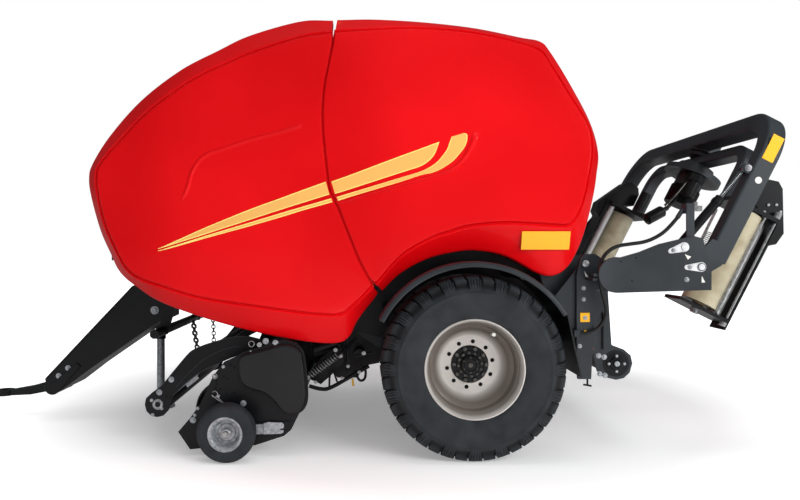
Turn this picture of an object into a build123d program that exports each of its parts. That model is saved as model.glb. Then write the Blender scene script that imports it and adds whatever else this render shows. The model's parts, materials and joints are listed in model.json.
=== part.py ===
"""Round baler with a twin-satellite bale wrapper, towed, standing on its wheels and jack.

Frame: +X forward along the drawbar, +Y to the machine's left, +Z up, millimetres.
The origin is on the ground under the middle of the machine's length and width.
"""
import os
from math import cos, hypot, pi, radians, sin, tan

from build123d import *

os.makedirs("parts", exist_ok=True)

# ---- driving dimensions -------------------------------------------------------------
AXLE_X, AXLE_Z = -862, 650            # wheel centre
TYRE_R, TYRE_Y, TYRE_W = 650, 1150, 600
RIM_LIP_R, RIM_W = 349, 500           # 26.5 inch rim
HUB_R, STUB_R = 135, 45
STUD_PCD, STUDS = 335, 10

GAUGE_X, GAUGE_Z, GAUGE_Y = 865, 205, 1360
GAUGE_R, GAUGE_W, GAUGE_RIM_R = 205, 150, 120

CHAMBER_X, CHAMBER_Z = -600, 1930     # bale chamber axis
CHAMBER_R, DRUM_R = 650, 690
WALL_Y, WALL_T = 612, 15              # chamber side walls
TAILGATE_X, TAILGATE_Z = 120, 3150    # tailgate hinge axis

SKIN = 14                             # thickness of the body panels
FACE_Y, EDGE_Y, INNER_Y = 1270, 1150, 1025
SEAM_GAP = (8, -4)                    # half of the gap between door and tailgate panel
HOOD_Y = 1000
DOOR_Y, DOOR_Z = 1130, 3030           # side door hinge line, along X

PICKUP_X, PICKUP_Z = 450, 790         # pickup lift axis
PICKUP_PLATE_Y = 1205
REEL_X, REEL_Z, REEL_R = 930, 330, 150
GUARD_X, GUARD_Z = 660, 752           # crop guard lift axis
GUARD_ARM_Y = 985
CROP_ROLLER_X, CROP_ROLLER_Z, CROP_ROLLER_R = 1450, 320, 70

CHAIN_BAR_X, CHAIN_BAR_Z = 1535, 820
DRAWBAR_Y = 250
HITCH_X, HITCH_Z = 2616, 283
RING_X, RING_Z, RING_BORE_R = 3105, 205, 25.5
JACK_X, JACK_Y, JACK_LEG_R, JACK_FOOT_R = 1810, -330, 36, 130

BOOM_X, BOOM_Z, BOOM_Y, BOOM_T = -1854, 1305, 1355, 25
TILT_X, TILT_Z = -2438, 1361          # portal tilt axis on the booms
BARREL_X, BARREL_Z = -2320, 1500      # tilt cylinder, barrel end
ROD_X, ROD_Z = -2793, 2054            # tilt cylinder, rod end
CYLINDER_Y = 1290

SAT_X, SAT_Z, SAT_TILT = -3150, 2370, 27
PORTAL_Y, PORTAL_U = 1280, 80         # portal tube centre line
PORTAL_TUBE_Y, PORTAL_TUBE_U, PORTAL_WALL = 128, 140, 8
FILM_R, FILM_LENGTH, FILM_Y, FILM_U = 125, 750, 1035, -80
FILM_TOP = -654                       # along the satellite axis from its centre

ROLLER_X, ROLLER_Z, ROLLER_R = -2000, 620, 95

# The satellite's own plane: x forward and up, y to the left, z up along its axis
SAT_PLANE = Plane(
    origin=(SAT_X, 0, SAT_Z),
    x_dir=(cos(radians(SAT_TILT)), 0, sin(radians(SAT_TILT))),
    z_dir=(-sin(radians(SAT_TILT)), 0, cos(radians(SAT_TILT))),
)

# ---- outlines in X, Z ---------------------------------------------------------------
SEAM = [
    (129, 2950), (158, 2810), (186, 2665), (200, 2520), (200, 2340), (172, 2055),
    (150, 1910), (105, 1817), (7, 1565), (-66, 1392), (-137, 1262),
]
# side door: each row is a point of the outline at EDGE_Y and of the crease at FACE_Y
DOOR_POINTS = [
    ((-212, 1172), (-160, 1240)),
    ((-167, 1120), (-85, 1165)),
    ((-51, 968), (0, 1085)),
    ((15, 844), (55, 1040)),
    ((117, 797), (140, 1027)),
    ((372, 815), (360, 1045)),
    ((736, 888), (717, 1094)),
    ((1100, 990), (1073, 1151)),
    ((1392, 1099), (1357, 1237)),
    ((1560, 1205), (1499, 1287)),
    ((1683, 1311), (1580, 1345)),
    ((1756, 1456), (1642, 1436)),
    ((1829, 1624), (1735, 1650)),
    ((1894, 1857), (1784, 1834)),
    ((1913, 2000), (1803, 2000)),
    ((1885, 2110), (1775, 2090)),
    ((1756, 2316), (1642, 2247)),
    ((1530, 2571), (1428, 2468)),
    ((1246, 2790), (1130, 2681)),
    ((969, 2935), (895, 2795)),
    ((736, 3045), (700, 2879)),
    ((372, 3147), (361, 2987)),
    ((118, 3158), (128, 3022)),
]
# tailgate side panel, the same way
TAILGATE_POINTS = [
    ((118, 3158), (128, 3022)),
    ((-175, 3161), (-186, 3043)),
    ((-539, 3139), (-493, 3050)),
    ((-903, 3096), (-850, 3022)),
    ((-1231, 3030), (-1165, 2957)),
    ((-1377, 3001), (-1353, 2887)),
    ((-1450, 2928), (-1440, 2765)),
    ((-1603, 2680), (-1553, 2579)),
    ((-1741, 2411), (-1680, 2365)),
    ((-1803, 2192), (-1709, 2190)),
    ((-1792, 2025), (-1680, 1977)),
    ((-1770, 1879), (-1645, 1820)),
    ((-1719, 1660), (-1590, 1710)),
    ((-1654, 1478), (-1540, 1667)),
    ((-1574, 1347), (-1480, 1668)),
    ((-1472, 1289), (-1420, 1670)),
    ((-1355, 1311), (-1330, 1677)),
    ((-1122, 1434), (-1080, 1684)),
    ((-903, 1474), (-850, 1663)),
    ((-721, 1456), (-706, 1621)),
    ((-539, 1405), (-564, 1571)),
    ((-357, 1303), (-351, 1443)),
    ((-212, 1172), (-160, 1240)),
]


# ---- helpers ------------------------------------------------------------------------
def shifted(points, dx, dz):
    """The same points moved by dx and dz."""
    return [(x + dx, z + dz) for x, z in points]


def slab(points, y_low, y_high):
    """A plate cut to an outline in X and Z, lying between two stations of Y."""
    with BuildPart() as plate:
        with BuildSketch(Plane.XZ.offset(-y_high)):
            with BuildLine():
                Polyline(*points, close=True)
            make_face()
        extrude(amount=y_high - y_low)
    return plate.part


def bar(start, end, radius, bore=0):
    """A round bar, or a tube when bore is given, from one point to another."""
    span = Vector(*end) - Vector(*start)
    with BuildPart() as rod:
        with BuildSketch(Plane(origin=start, z_dir=span)):
            Circle(radius)
            if bore:
                Circle(bore, mode=Mode.SUBTRACT)
        extrude(amount=span.length)
    return rod.part


def block(x, y, z):
    """A box given by its low and high X, Y and Z."""
    with BuildPart() as box:
        with BuildSketch(Plane.XY.offset(z[0])):
            with Locations(((x[0] + x[1]) / 2, (y[0] + y[1]) / 2)):
                Rectangle(x[1] - x[0], y[1] - y[0])
        extrude(amount=z[1] - z[0])
    return box.part


def strip(points, thickness, y_low, y_high):
    """A bent sheet: a polyline in X and Z thickened to its left and extruded along Y."""
    with BuildPart() as sheet:
        with BuildSketch(Plane.XZ.offset(-y_high)):
            with BuildLine():
                line = Polyline(*points)
                offset(line, amount=thickness, side=Side.LEFT)
            make_face()
        extrude(amount=y_high - y_low)
    return sheet.part


def ring_sector(x, z, r_in, r_out, start, end, y_low, y_high):
    """A curved wall about an axis along Y, between two angles from +X towards +Z."""
    with BuildPart() as wall:
        with BuildSketch(Plane.XZ.offset(-y_high)):
            with BuildLine():
                low = CenterArc((x, z), r_in, start, end - start)
                high = CenterArc((x, z), r_out, start, end - start)
                Line(low @ 0, high @ 0)
                Line(low @ 1, high @ 1)
            make_face()
        extrude(amount=y_high - y_low)
    return wall.part


def mirrored(part):
    """The same piece on the machine's right side."""
    return mirror(part, about=Plane.XZ)


def write(part, name):
    """Label a finished piece and write it as one STEP file."""
    part.label = name
    export_step(part, f"parts/{name}.step")


# ---- chassis: side walls, chamber, beams --------------------------------------------
SIDE_WALL = [
    (-1640, 1000), (-1740, 900), (-1740, 700), (-980, 700), (-980, 590), (-744, 590), (-744, 700),
    (-200, 700), (60, 880), (700, 1000), (1500, 1060), (1600, 1300), (1690, 1650),
    (1720, 1990), (1600, 2240), (1380, 2500), (1110, 2715), (790, 2890), (400, 3030),
    (240, 3060), (240, 2900), (100, 2700), (-254, 2528), (-847, 1285), (-1000, 1200),
]
with BuildPart() as side_walls:
    add(slab(SIDE_WALL, WALL_Y, WALL_Y + WALL_T))
    # ways through the wall for the axle and the cross beams
    add(block((AXLE_X - 60, AXLE_X + 60), (600, 640), (590, 710)), mode=Mode.SUBTRACT)
    add(block((-1750, -1650), (600, 640), (720, 800)), mode=Mode.SUBTRACT)
    add(block((260, 340), (600, 640), (2940, 3020)), mode=Mode.SUBTRACT)
    with BuildSketch(Plane.XZ.offset(-(WALL_Y + WALL_T))):
        with Locations((1150, 1500), (1150, 2150)):
            Circle(170)
        with Locations((600, 1350)):
            Circle(120)
    extrude(amount=WALL_T, mode=Mode.SUBTRACT)
    mirror(about=Plane.XZ)
write(side_walls.part, "side_walls")

with BuildPart() as chamber_front:
    # fixed part of the bale chamber: its floor, the crop mouth left open, its front
    add(ring_sector(CHAMBER_X, CHAMBER_Z, CHAMBER_R, DRUM_R, 253, 300, -WALL_Y, WALL_Y))
    add(ring_sector(CHAMBER_X, CHAMBER_Z, CHAMBER_R, DRUM_R, 332, 416, -WALL_Y, WALL_Y))
write(chamber_front.part, "chamber_front")

with BuildPart() as chassis_frame:
    # cross beams between the side walls, and the beams outside them
    add(block((-1740, -1650), (-1135, 1135), (720, 800)))
    add(block((300, 400), (-WALL_Y, WALL_Y), (965, 1045)))
    add(block((1400, 1500), (-WALL_Y, WALL_Y), (1060, 1160)))
    add(block((260, 340), (-940, 940), (2940, 3020)))
    # ears that carry the tailgate's hinge pins
    for ear_y in (-565, 545):
        ear = [(260, 2940), (340, 3020), (240, 3040), (134, 3172), (98, 3150), (130, 3120)]
        add(slab(ear, ear_y, ear_y + 20))
    for pin_y in (-575, 497):
        add(bar((TAILGATE_X, pin_y, TAILGATE_Z), (TAILGATE_X, pin_y + 78, TAILGATE_Z), 12))
    # brackets and pins of the side doors' hinges
    for side in (1, -1):
        for hinge_x in (262, 500):
            with BuildSketch(Plane.YZ.offset(hinge_x)):
                with BuildLine():
                    Polyline(
                        (side * 627, 2700), (side * 627, 2800), (side * 1000, 2880),
                        (side * 1040, 2960), (side * 1113, 3040), (side * 1147, 3030),
                        (side * 1133, 3000), (side * 1070, 2850), close=True,
                    )
                make_face()
            extrude(amount=16)
            pin_from = (hinge_x - 40, side * DOOR_Y, DOOR_Z)
            add(bar(pin_from, (hinge_x + 56, side * DOOR_Y, DOOR_Z), 11))
write(chassis_frame.part, "chassis_frame")

with BuildPart() as axle:
    # square axle beam under both side walls, a stub in each wheel hub
    add(block((AXLE_X - 60, AXLE_X + 60), (-790, 790), (AXLE_Z - 60, AXLE_Z + 60)))
    for side in (1, -1):
        start = (AXLE_X, side * 780, AXLE_Z)
        add(bar(start, (AXLE_X, side * 1100, AXLE_Z), 70))
        add(bar(start, (AXLE_X, side * 1180, AXLE_Z), STUB_R))
write(axle.part, "axle")

# ---- front: hood, gearbox, drawbar, ring eye, jack ---------------------------------
HOOD_LINE = [
    (1800, 1640), (1856, 1860), (1872, 2000), (1848, 2100), (1726, 2296), (1508, 2540),
    (1232, 2752), (962, 2896), (732, 3004), (372, 3108), (200, 3117),
]
with BuildPart() as front_hood:
    add(strip(HOOD_LINE, -SKIN, -HOOD_Y, HOOD_Y))
    # front cross panel below the nose
    add(block((1786, 1800), (-HOOD_Y, HOOD_Y), (1400, 1640)))
write(front_hood.part, "front_hood")

with BuildPart() as gearbox:
    with BuildSketch(Plane.XY.offset(1240)):
        with Locations((1500, 0)):
            RectangleRounded(240, 300, 30)
    extrude(amount=280)
    with BuildSketch(Plane.YZ.offset(1620)):
        with Locations((0, 1380)):
            Circle(75)
    extrude(amount=30)
    # cross shaft housing towards the main drive on the left wall
    add(bar((1500, 150, 1380), (1500, WALL_Y, 1380), 60))
    # input stub of 1 3/8 inch
    add(bar((1650, 0, 1380), (1735, 0, 1380), 17.46))
    # seat on the front cross beam
    add(block((1420, 1500), (-90, 90), (1160, 1240)))
write(gearbox.part, "gearbox")

DRAWBAR_OUTER = [
    (2637, 369), (1891, 1166), (1820, 1190), (1500, 1190), (1500, 1062), (1617, 960),
    (1617, 875), (1694, 840), (2277, 437), (2491, 274), (2560, 240), (2620, 300),
]
DRAWBAR_INNER = [
    (2560, 425), (1884, 1150), (1810, 1172), (1520, 1172), (1520, 1075), (1635, 970),
    (1635, 888), (1702, 856), (2290, 449), (2500, 292), (2540, 300),
]
with BuildPart() as drawbar:
    add(slab(DRAWBAR_OUTER, -DRAWBAR_Y, DRAWBAR_Y))
    add(slab(DRAWBAR_INNER, -DRAWBAR_Y + 14, DRAWBAR_Y - 14), mode=Mode.SUBTRACT)
    # way out for the hitch joint at the front end
    add(block((2520, 2720), (-150, 150), (180, 460)), mode=Mode.SUBTRACT)
write(drawbar.part, "drawbar")

with BuildPart() as hitch_eye:
    # toothed joint across the drawbar's end, a forged shank and the towing ring
    add(bar((HITCH_X, -150, HITCH_Z), (HITCH_X, 150, HITCH_Z), 68))
    with BuildSketch(Plane.XZ.offset(-45)):
        with BuildLine():
            Polyline(
                (HITCH_X, HITCH_Z + 45), (2860, 262), (RING_X - 50, RING_Z + 22),
                (RING_X - 50, RING_Z - 22), (2860, 192), (HITCH_X, HITCH_Z - 45), close=True,
            )
        make_face()
    extrude(amount=90)
    with BuildSketch(Plane.XY.offset(RING_Z - 22)):
        with Locations((RING_X, 0)):
            Circle(86)
    extrude(amount=44)
    with BuildSketch(Plane.XY.offset(RING_Z - 60)):
        with Locations((RING_X, 0)):
            Circle(RING_BORE_R)
    extrude(amount=120, mode=Mode.SUBTRACT)
write(hitch_eye.part, "hitch_eye")

with BuildPart() as jack_tube:
    add(bar((JACK_X, JACK_Y, 640), (JACK_X, JACK_Y, 1150), 46, JACK_LEG_R + 0.5))
    add(block((JACK_X - 60, JACK_X + 60), (JACK_Y + 42, -DRAWBAR_Y), (870, 1050)))
write(jack_tube.part, "jack_tube")

with BuildPart() as jack_leg:
    add(bar((JACK_X, JACK_Y, 12), (JACK_X, JACK_Y, 900), JACK_LEG_R))
    with BuildSketch(Plane.XY):
        with Locations((JACK_X, JACK_Y)):
            Circle(JACK_FOOT_R)
    extrude(amount=14)
write(jack_leg.part, "jack_leg")

with BuildPart() as chain_bar:
    # tube that the crop guard's chains hang from, on two straps from the beam behind
    add(bar((CHAIN_BAR_X, -810, CHAIN_BAR_Z), (CHAIN_BAR_X, 810, CHAIN_BAR_Z), 35))
    for side in (1, -1):
        strap = [(1430, 1060), (1500, 1060), (1570, 850), (1555, 790), (1500, 790), (1440, 1000)]
        add(slab(strap, side * 560 - 12, side * 560 + 12))
write(chain_bar.part, "chain_bar")


# ---- side doors and tailgate panels -------------------------------------------------
def inset(points, distance):
    """A closed outline moved inwards by a distance, corner by corner along the bisectors."""
    moved = []
    for i, (x, z) in enumerate(points):
        xa, za = points[i - 1]
        xb, zb = points[(i + 1) % len(points)]
        n1 = (-(z - za) / hypot(x - xa, z - za), (x - xa) / hypot(x - xa, z - za))
        n2 = (-(zb - z) / hypot(xb - x, zb - z), (xb - x) / hypot(xb - x, zb - z))
        k = distance / (1 + n1[0] * n2[0] + n1[1] * n2[1])
        moved.append((x + k * (n1[0] + n2[0]), z + k * (n1[1] + n2[1])))
    return moved


def tray(edge, crease, face_y, edge_y, inner_y):
    """A solid with a flat face, bevelled to its edge outline and carried on inwards."""
    with BuildPart() as body:
        for y, outline in ((edge_y, edge), (face_y, crease)):
            with BuildSketch(Plane.XZ.offset(-y)):
                with BuildLine():
                    Polyline(*outline, close=True)
                make_face()
        loft(ruled=True)
        with BuildSketch(Plane.XZ.offset(-edge_y)):
            with BuildLine():
                Polyline(*edge, close=True)
            make_face()
        extrude(amount=edge_y - inner_y)
    return body.part


def panel(rows, seam):
    """A hollow side panel of even thickness, open towards the machine's middle."""
    edge = [row[0] for row in rows] + seam
    crease = [row[1] for row in rows] + seam
    turn = 1 if sum(
        a[0] * b[1] - b[0] * a[1] for a, b in zip(edge, edge[1:] + edge[:1])
    ) > 0 else -1
    outer = tray(edge, crease, FACE_Y, EDGE_Y, INNER_Y)
    inner = tray(
        inset(edge, turn * SKIN), inset(crease, turn * SKIN),
        FACE_Y - SKIN, EDGE_Y - SKIN, INNER_Y - 10,
    )
    return outer - inner


door_seam = shifted(SEAM, *SEAM_GAP)
door_rows = [DOOR_POINTS[0]] + DOOR_POINTS[1:-1] + [DOOR_POINTS[-1]]
door_rows[0] = ((-196, 1164), (-144, 1232))
door_rows[-1] = ((132, 3154), (137, 3020))
with BuildPart() as side_door_left:
    add(panel(door_rows, door_seam))
    # the seam's lip is narrow, so that it swings clear of the tailgate panel
    add(block((-300, 250), (INNER_Y - 20, EDGE_Y + 10), (700, 3300)), mode=Mode.SUBTRACT)
    # the top lip is cut back too, so that it turns past the hood and its beam
    add(block((-300, 900), (INNER_Y - 20, DOOR_Y - 62), (2960, 3300)), mode=Mode.SUBTRACT)
    # hinge lugs under the top edge
    for lug_x, lug_top in ((240, 3140), (478, 3104)):
        with BuildSketch(Plane.YZ.offset(lug_x)):
            with BuildLine():
                Polyline(
                    (DOOR_Y - 24, DOOR_Z - 10), (DOOR_Y + 10, DOOR_Z - 26),
                    (DOOR_Y + 26, DOOR_Z), (DOOR_Y + 16, lug_top),
                    (DOOR_Y - 20, lug_top), close=True,
                )
            make_face()
            with Locations((DOOR_Y, DOOR_Z)):
                Circle(11.8, mode=Mode.SUBTRACT)
        extrude(amount=14)
write(side_door_left.part, "side_door_left")
write(mirrored(side_door_left.part), "side_door_right")

tail_seam = shifted(SEAM[::-1], -SEAM_GAP[0], -SEAM_GAP[1])
tail_rows = list(TAILGATE_POINTS)
tail_rows[0] = ((100, 3158), (112, 3026))
tail_rows[-1] = ((-228, 1180), (-176, 1248))
with BuildPart() as tailgate_panel_left:
    add(panel(tail_rows, tail_seam))
write(tailgate_panel_left.part, "tailgate_panel_left")
write(mirrored(tailgate_panel_left.part), "tailgate_panel_right")

with BuildPart() as tailgate_roof:
    # roof sheet, its rear wall and the eyes on the hinge pins
    roof = [
        (90, 3140), (-175, 3147), (-539, 3125), (-903, 3082), (-1231, 3016), (-1365, 2988),
        (-1436, 2915), (-1425, 2500), (-1360, 2100), (-1330, 1800), (-1250, 1480),
    ]
    add(strip(roof, SKIN, -INNER_Y, INNER_Y))
    for eye_y in (-543, 513):
        eye = [(120, 3126), (142, 3140), (144, 3160), (128, 3172), (90, 3168), (-120, 3140),
               (-120, 3080), (60, 3090)]
        add(slab(eye, eye_y, eye_y + 30))
        add(bar((TAILGATE_X, eye_y, TAILGATE_Z), (TAILGATE_X, eye_y + 30, TAILGATE_Z), 12.6),
            mode=Mode.SUBTRACT)
write(tailgate_roof.part, "tailgate_roof")

CHORD = [(-275, 2493), (-822, 1319)]
with BuildPart() as tailgate_drum:
    # moving part of the bale chamber: its curved wall and its two cheeks
    add(ring_sector(CHAMBER_X, CHAMBER_Z, CHAMBER_R, DRUM_R, 61, 248, -WALL_Y, WALL_Y))
    for cheek_y in (-WALL_Y - 15, WALL_Y):
        with BuildSketch(Plane.XZ.offset(-(cheek_y + 15))):
            with BuildLine():
                rim = CenterArc((CHAMBER_X, CHAMBER_Z), DRUM_R, 61, 187)
                Line(rim @ 1, rim @ 0)
            make_face()
        extrude(amount=15)
    # tubes that carry the side panels, and posts that carry the roof
    for tube_x, tube_z in ((-560, 2660), (-1282, 2000)):
        for side in (1, -1):
            start = (tube_x, side * WALL_Y, tube_z)
            add(bar(start, (tube_x, side * (FACE_Y - SKIN), tube_z), 38))
    for post_y in (-400, 370):
        add(block((-700, -640), (post_y, post_y + 30), (2600, 3090)))
write(tailgate_drum.part, "tailgate_drum")

# ---- mudguards, rear supports, bale table -------------------------------------------
with BuildPart() as mudguards:
    # narrow over the front, where the tailgate panel's lower tip passes inside it
    add(ring_sector(AXLE_X, AXLE_Z, 732, 742, 27, 149, FACE_Y + 15, 1425))
    add(ring_sector(AXLE_X, AXLE_Z, 732, 742, 106, 149, 870, FACE_Y + 15))
    flap = [(-1494, 1032), (-1504, 1034), (-1600, 600), (-1590, 600)]
    add(slab(flap, 870, 1425))
    for angle in (33, 118):
        x = AXLE_X + 722 * cos(radians(angle))
        z = AXLE_Z + 722 * sin(radians(angle))
        add(bar((x, WALL_Y + WALL_T, z), (x, 1380, z), 18))
    mirror(about=Plane.XZ)
write(mudguards.part, "mudguards")

SUPPORT = [
    (-1640, 700), (-1650, 540), (-1745, 540), (-1765, 900), (-1770, 1180), (-1900, 1215),
    (-1945, 1290), (-1915, 1375), (-1850, 1398), (-1775, 1450), (-1700, 1450),
    (-1668, 1418), (-1640, 1300),
]
with BuildPart() as rear_supports:
    # upright plate beside the wheel with the boom's pivot pin
    add(slab(SUPPORT, 1135, 1165))
    add(bar((BOOM_X, 1165, BOOM_Z), (BOOM_X, BOOM_Y + 14, BOOM_Z), 30))
    # gland of the lower hose, and the clamp that holds its upper end
    add(block((-1650, -1610), (1165, 1212), (850, 900)))
    add(block((-1780, -1700), (1165, 1345), (1262, 1282)))
    add(bar((-1700, 1165, 1380), (-1700, 1180, 1380), 22))
    mirror(about=Plane.XZ)
write(rear_supports.part, "rear_supports")

TABLE_PLATE = [
    (-1820, 1170), (-1940, 1170), (-1968, 760), (-2060, 725), (-2112, 680), (-2125, 620),
    (-2105, 550), (-2060, 508), (-2000, 495), (-1900, 520), (-1860, 560), (-1800, 800),
]
with BuildPart() as table_frame:
    # cheek plates that hold the bale table's roller, on a beam from the chassis
    for plate_y in (-955, 935):
        add(slab(TABLE_PLATE, plate_y, plate_y + 20))
        add(bar((ROLLER_X, plate_y - 5, ROLLER_Z), (ROLLER_X, plate_y + 25, ROLLER_Z), 25.4),
            mode=Mode.SUBTRACT)
    add(block((-1870, -1800), (-935, 935), (725, 795)))
    for side in (1, -1):
        add(block((-1800, -1740), (side * 700 - 40, side * 700 + 40), (725, 795)))
write(table_frame.part, "table_frame")

with BuildPart() as table_roller:
    add(bar((ROLLER_X, -900, ROLLER_Z), (ROLLER_X, 900, ROLLER_Z), ROLLER_R))
    add(bar((ROLLER_X, -975, ROLLER_Z), (ROLLER_X, 975, ROLLER_Z), 24.6))
write(table_roller.part, "table_roller")

# ---- wheels -------------------------------------------------------------------------
def ring_of(profile, x, z):
    """A body of revolution about an axis along Y, from a profile of radius and Y."""
    with BuildPart() as body:
        with BuildSketch(Plane(origin=(x, 0, z), x_dir=(1, 0, 0), z_dir=(0, 0, 1))):
            with BuildLine():
                Polyline(*profile, close=True)
            make_face()
        revolve(axis=Axis((x, 0, z), (0, 1, 0)))
    return body.part


TYRE_PROFILE = [
    (338, 905), (352, 893), (430, 862), (500, 850), (560, 853), (612, 872), (642, 930),
    (650, 1010), (650, 1290), (642, 1370), (612, 1428), (560, 1447), (500, 1450),
    (430, 1438), (352, 1407), (338, 1395),
]
RIM_PROFILE = [
    (337, 906), (337, 1394), (349, 1408), (349, 1414), (330, 1404), (326, 1350),
    (300, 1300), (306, 1180), (300, 1166), (136, 1166), (136, 1152), (288, 1152),
    (290, 1120), (290, 1040), (326, 950), (330, 896), (349, 886), (349, 892),
]
with BuildPart() as tyre_left:
    add(ring_of(TYRE_PROFILE, AXLE_X, AXLE_Z))
write(tyre_left.part, "tyre_left")
write(mirrored(tyre_left.part), "tyre_right")

with BuildPart() as rim_left:
    add(ring_of(RIM_PROFILE, AXLE_X, AXLE_Z))
    # hub with its bearing bore, and the wheel studs
    add(bar((AXLE_X, 1108, AXLE_Z), (AXLE_X, 1214, AXLE_Z), HUB_R + 2))
    add(bar((AXLE_X, 1214, AXLE_Z), (AXLE_X, 1244, AXLE_Z), 62))
    with BuildSketch(Plane.XZ.offset(-1190)):
        with Locations((AXLE_X, AXLE_Z)):
            with PolarLocations(STUD_PCD / 2, STUDS):
                Circle(11)
    extrude(amount=24)
    add(bar((AXLE_X, 1100, AXLE_Z), (AXLE_X, 1186, AXLE_Z), STUB_R + 0.5), mode=Mode.SUBTRACT)
write(rim_left.part, "rim_left")
write(mirrored(rim_left.part), "rim_right")

GAUGE_TYRE = [
    (121, 1292), (150, 1285), (185, 1288), (202, 1310), (205, 1340), (205, 1380),
    (202, 1410), (185, 1432), (150, 1435), (121, 1428),
]
GAUGE_RIM = [
    (120, 1290), (120, 1430), (108, 1430), (104, 1385), (40, 1375), (40, 1405), (20.6, 1405),
    (20.6, 1300), (40, 1300), (40, 1360), (104, 1365), (108, 1290),
]
with BuildPart() as gauge_tyre_left:
    add(ring_of(GAUGE_TYRE, GAUGE_X, GAUGE_Z))
write(gauge_tyre_left.part, "gauge_tyre_left")
write(mirrored(gauge_tyre_left.part), "gauge_tyre_right")
with BuildPart() as gauge_rim_left:
    add(ring_of(GAUGE_RIM, GAUGE_X, GAUGE_Z))
write(gauge_rim_left.part, "gauge_rim_left")
write(mirrored(gauge_rim_left.part), "gauge_rim_right")

# ---- pickup and crop guard ----------------------------------------------------------
PICKUP_SIDE = [
    (912, 674), (991, 573), (1084, 372), (1156, 271), (1242, 171), (1156, 45), (1084, 52),
    (689, 74), (480, 142), (430, 185), (366, 314), (315, 386), (308, 472), (330, 616),
    (344, 760), (387, 810), (473, 832), (545, 817), (725, 760),
]
with BuildPart() as pickup_frame:
    for plate_y in (-PICKUP_PLATE_Y - 12, PICKUP_PLATE_Y):
        add(slab(PICKUP_SIDE, plate_y, plate_y + 12))
    # cross tubes, the rear one being the lift axis
    for tube_x, tube_z, tube_r in ((PICKUP_X, PICKUP_Z, 30), (625, 585, 45), (440, 260, 35)):
        add(bar((tube_x, -PICKUP_PLATE_Y, tube_z), (tube_x, PICKUP_PLATE_Y, tube_z), tube_r))
    # arms to the gauge wheels and their stub pins
    for side in (1, -1):
        arm = [(440, 250), (480, 160), (GAUGE_X - 30, 178), (GAUGE_X + 28, 195),
               (GAUGE_X + 20, 230), (GAUGE_X - 40, 232)]
        low = min(side * 1218, side * 1230)
        add(slab(arm, low, low + 12))
        add(bar((GAUGE_X, side * 1224, GAUGE_Z), (GAUGE_X, side * 1412, GAUGE_Z), 20))
        # pivot pins of the crop guard
        add(bar((GUARD_X, side * PICKUP_PLATE_Y, GUARD_Z), (GUARD_X, side * 970, GUARD_Z), 16))
write(pickup_frame.part, "pickup_frame")

with BuildPart() as pickup_bands:
    # curved stripper plate round the reel, open to the rear
    add(ring_sector(REEL_X, REEL_Z, 180, 188, -120, 100, -PICKUP_PLATE_Y, PICKUP_PLATE_Y))
    top = [(REEL_X - 33, REEL_Z + 185), (REEL_X - 33, REEL_Z + 177), (560, 690), (560, 698)]
    add(slab(top, -PICKUP_PLATE_Y, PICKUP_PLATE_Y))
write(pickup_bands.part, "pickup_bands")

with BuildPart() as pickup_reel:
    # tine reel: a tube with four tine bars between end discs
    add(bar((REEL_X, -1180, REEL_Z), (REEL_X, 1180, REEL_Z), 50))
    for disc_y in (-1180, -6, 1168):
        add(bar((REEL_X, disc_y, REEL_Z), (REEL_X, disc_y + 12, REEL_Z), REEL_R))
    for i in range(4):
        x = REEL_X + 130 * cos(radians(45 + 90 * i))
        z = REEL_Z + 130 * sin(radians(45 + 90 * i))
        add(bar((x, -1175, z), (x, 1175, z), 15))
write(pickup_reel.part, "pickup_reel")

COVER = [
    (800, 660), (776, 730), (690, 752), (510, 802), (440, 802), (375, 774), (340, 700),
    (325, 545), (325, 400), (368, 330), (418, 308), (475, 315), (546, 400), (618, 460),
    (740, 488), (776, 524), (790, 560),
]
with BuildPart() as pickup_covers:
    add(slab(COVER, PICKUP_PLATE_Y + 12, PICKUP_PLATE_Y + 42))
    chamfer(pickup_covers.faces().sort_by(Axis.Y)[-1].edges(), 8)
    mirror(about=Plane.XZ)
write(pickup_covers.part, "pickup_covers")

GUARD_ARM = [
    (628, 752), (640, 784), (700, 814), (772, 832), (870, 832), (985, 804), (1098, 770),
    (1180, 735), (1227, 696), (1422, 462), (1490, 412), (1540, 366), (1549, 318),
    (1536, 268), (1500, 234), (1455, 224), (1408, 236), (1374, 272), (1333, 387),
    (1250, 468), (1150, 548), (1016, 618), (880, 676), (764, 716), (690, 722), (640, 724),
]
with BuildPart() as guard_frame:
    for side in (1, -1):
        low = min(side * GUARD_ARM_Y, side * (GUARD_ARM_Y + 16))
        add(slab(GUARD_ARM, low, low + 16))
    add(bar((1110, -GUARD_ARM_Y, 690), (1110, GUARD_ARM_Y, 690), 26))
    for pin_y in (-1001, 985):
        for x, z, r in ((CROP_ROLLER_X, CROP_ROLLER_Z, 20.4), (GUARD_X, GUARD_Z, 16.4)):
            add(bar((x, pin_y - 5, z), (x, pin_y + 21, z), r), mode=Mode.SUBTRACT)
write(guard_frame.part, "guard_frame")

with BuildPart() as crop_roller:
    add(bar((CROP_ROLLER_X, -960, CROP_ROLLER_Z), (CROP_ROLLER_X, 960, CROP_ROLLER_Z),
            CROP_ROLLER_R))
    add(bar((CROP_ROLLER_X, -1010, CROP_ROLLER_Z), (CROP_ROLLER_X, 1010, CROP_ROLLER_Z), 20))
write(crop_roller.part, "crop_roller")

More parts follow.
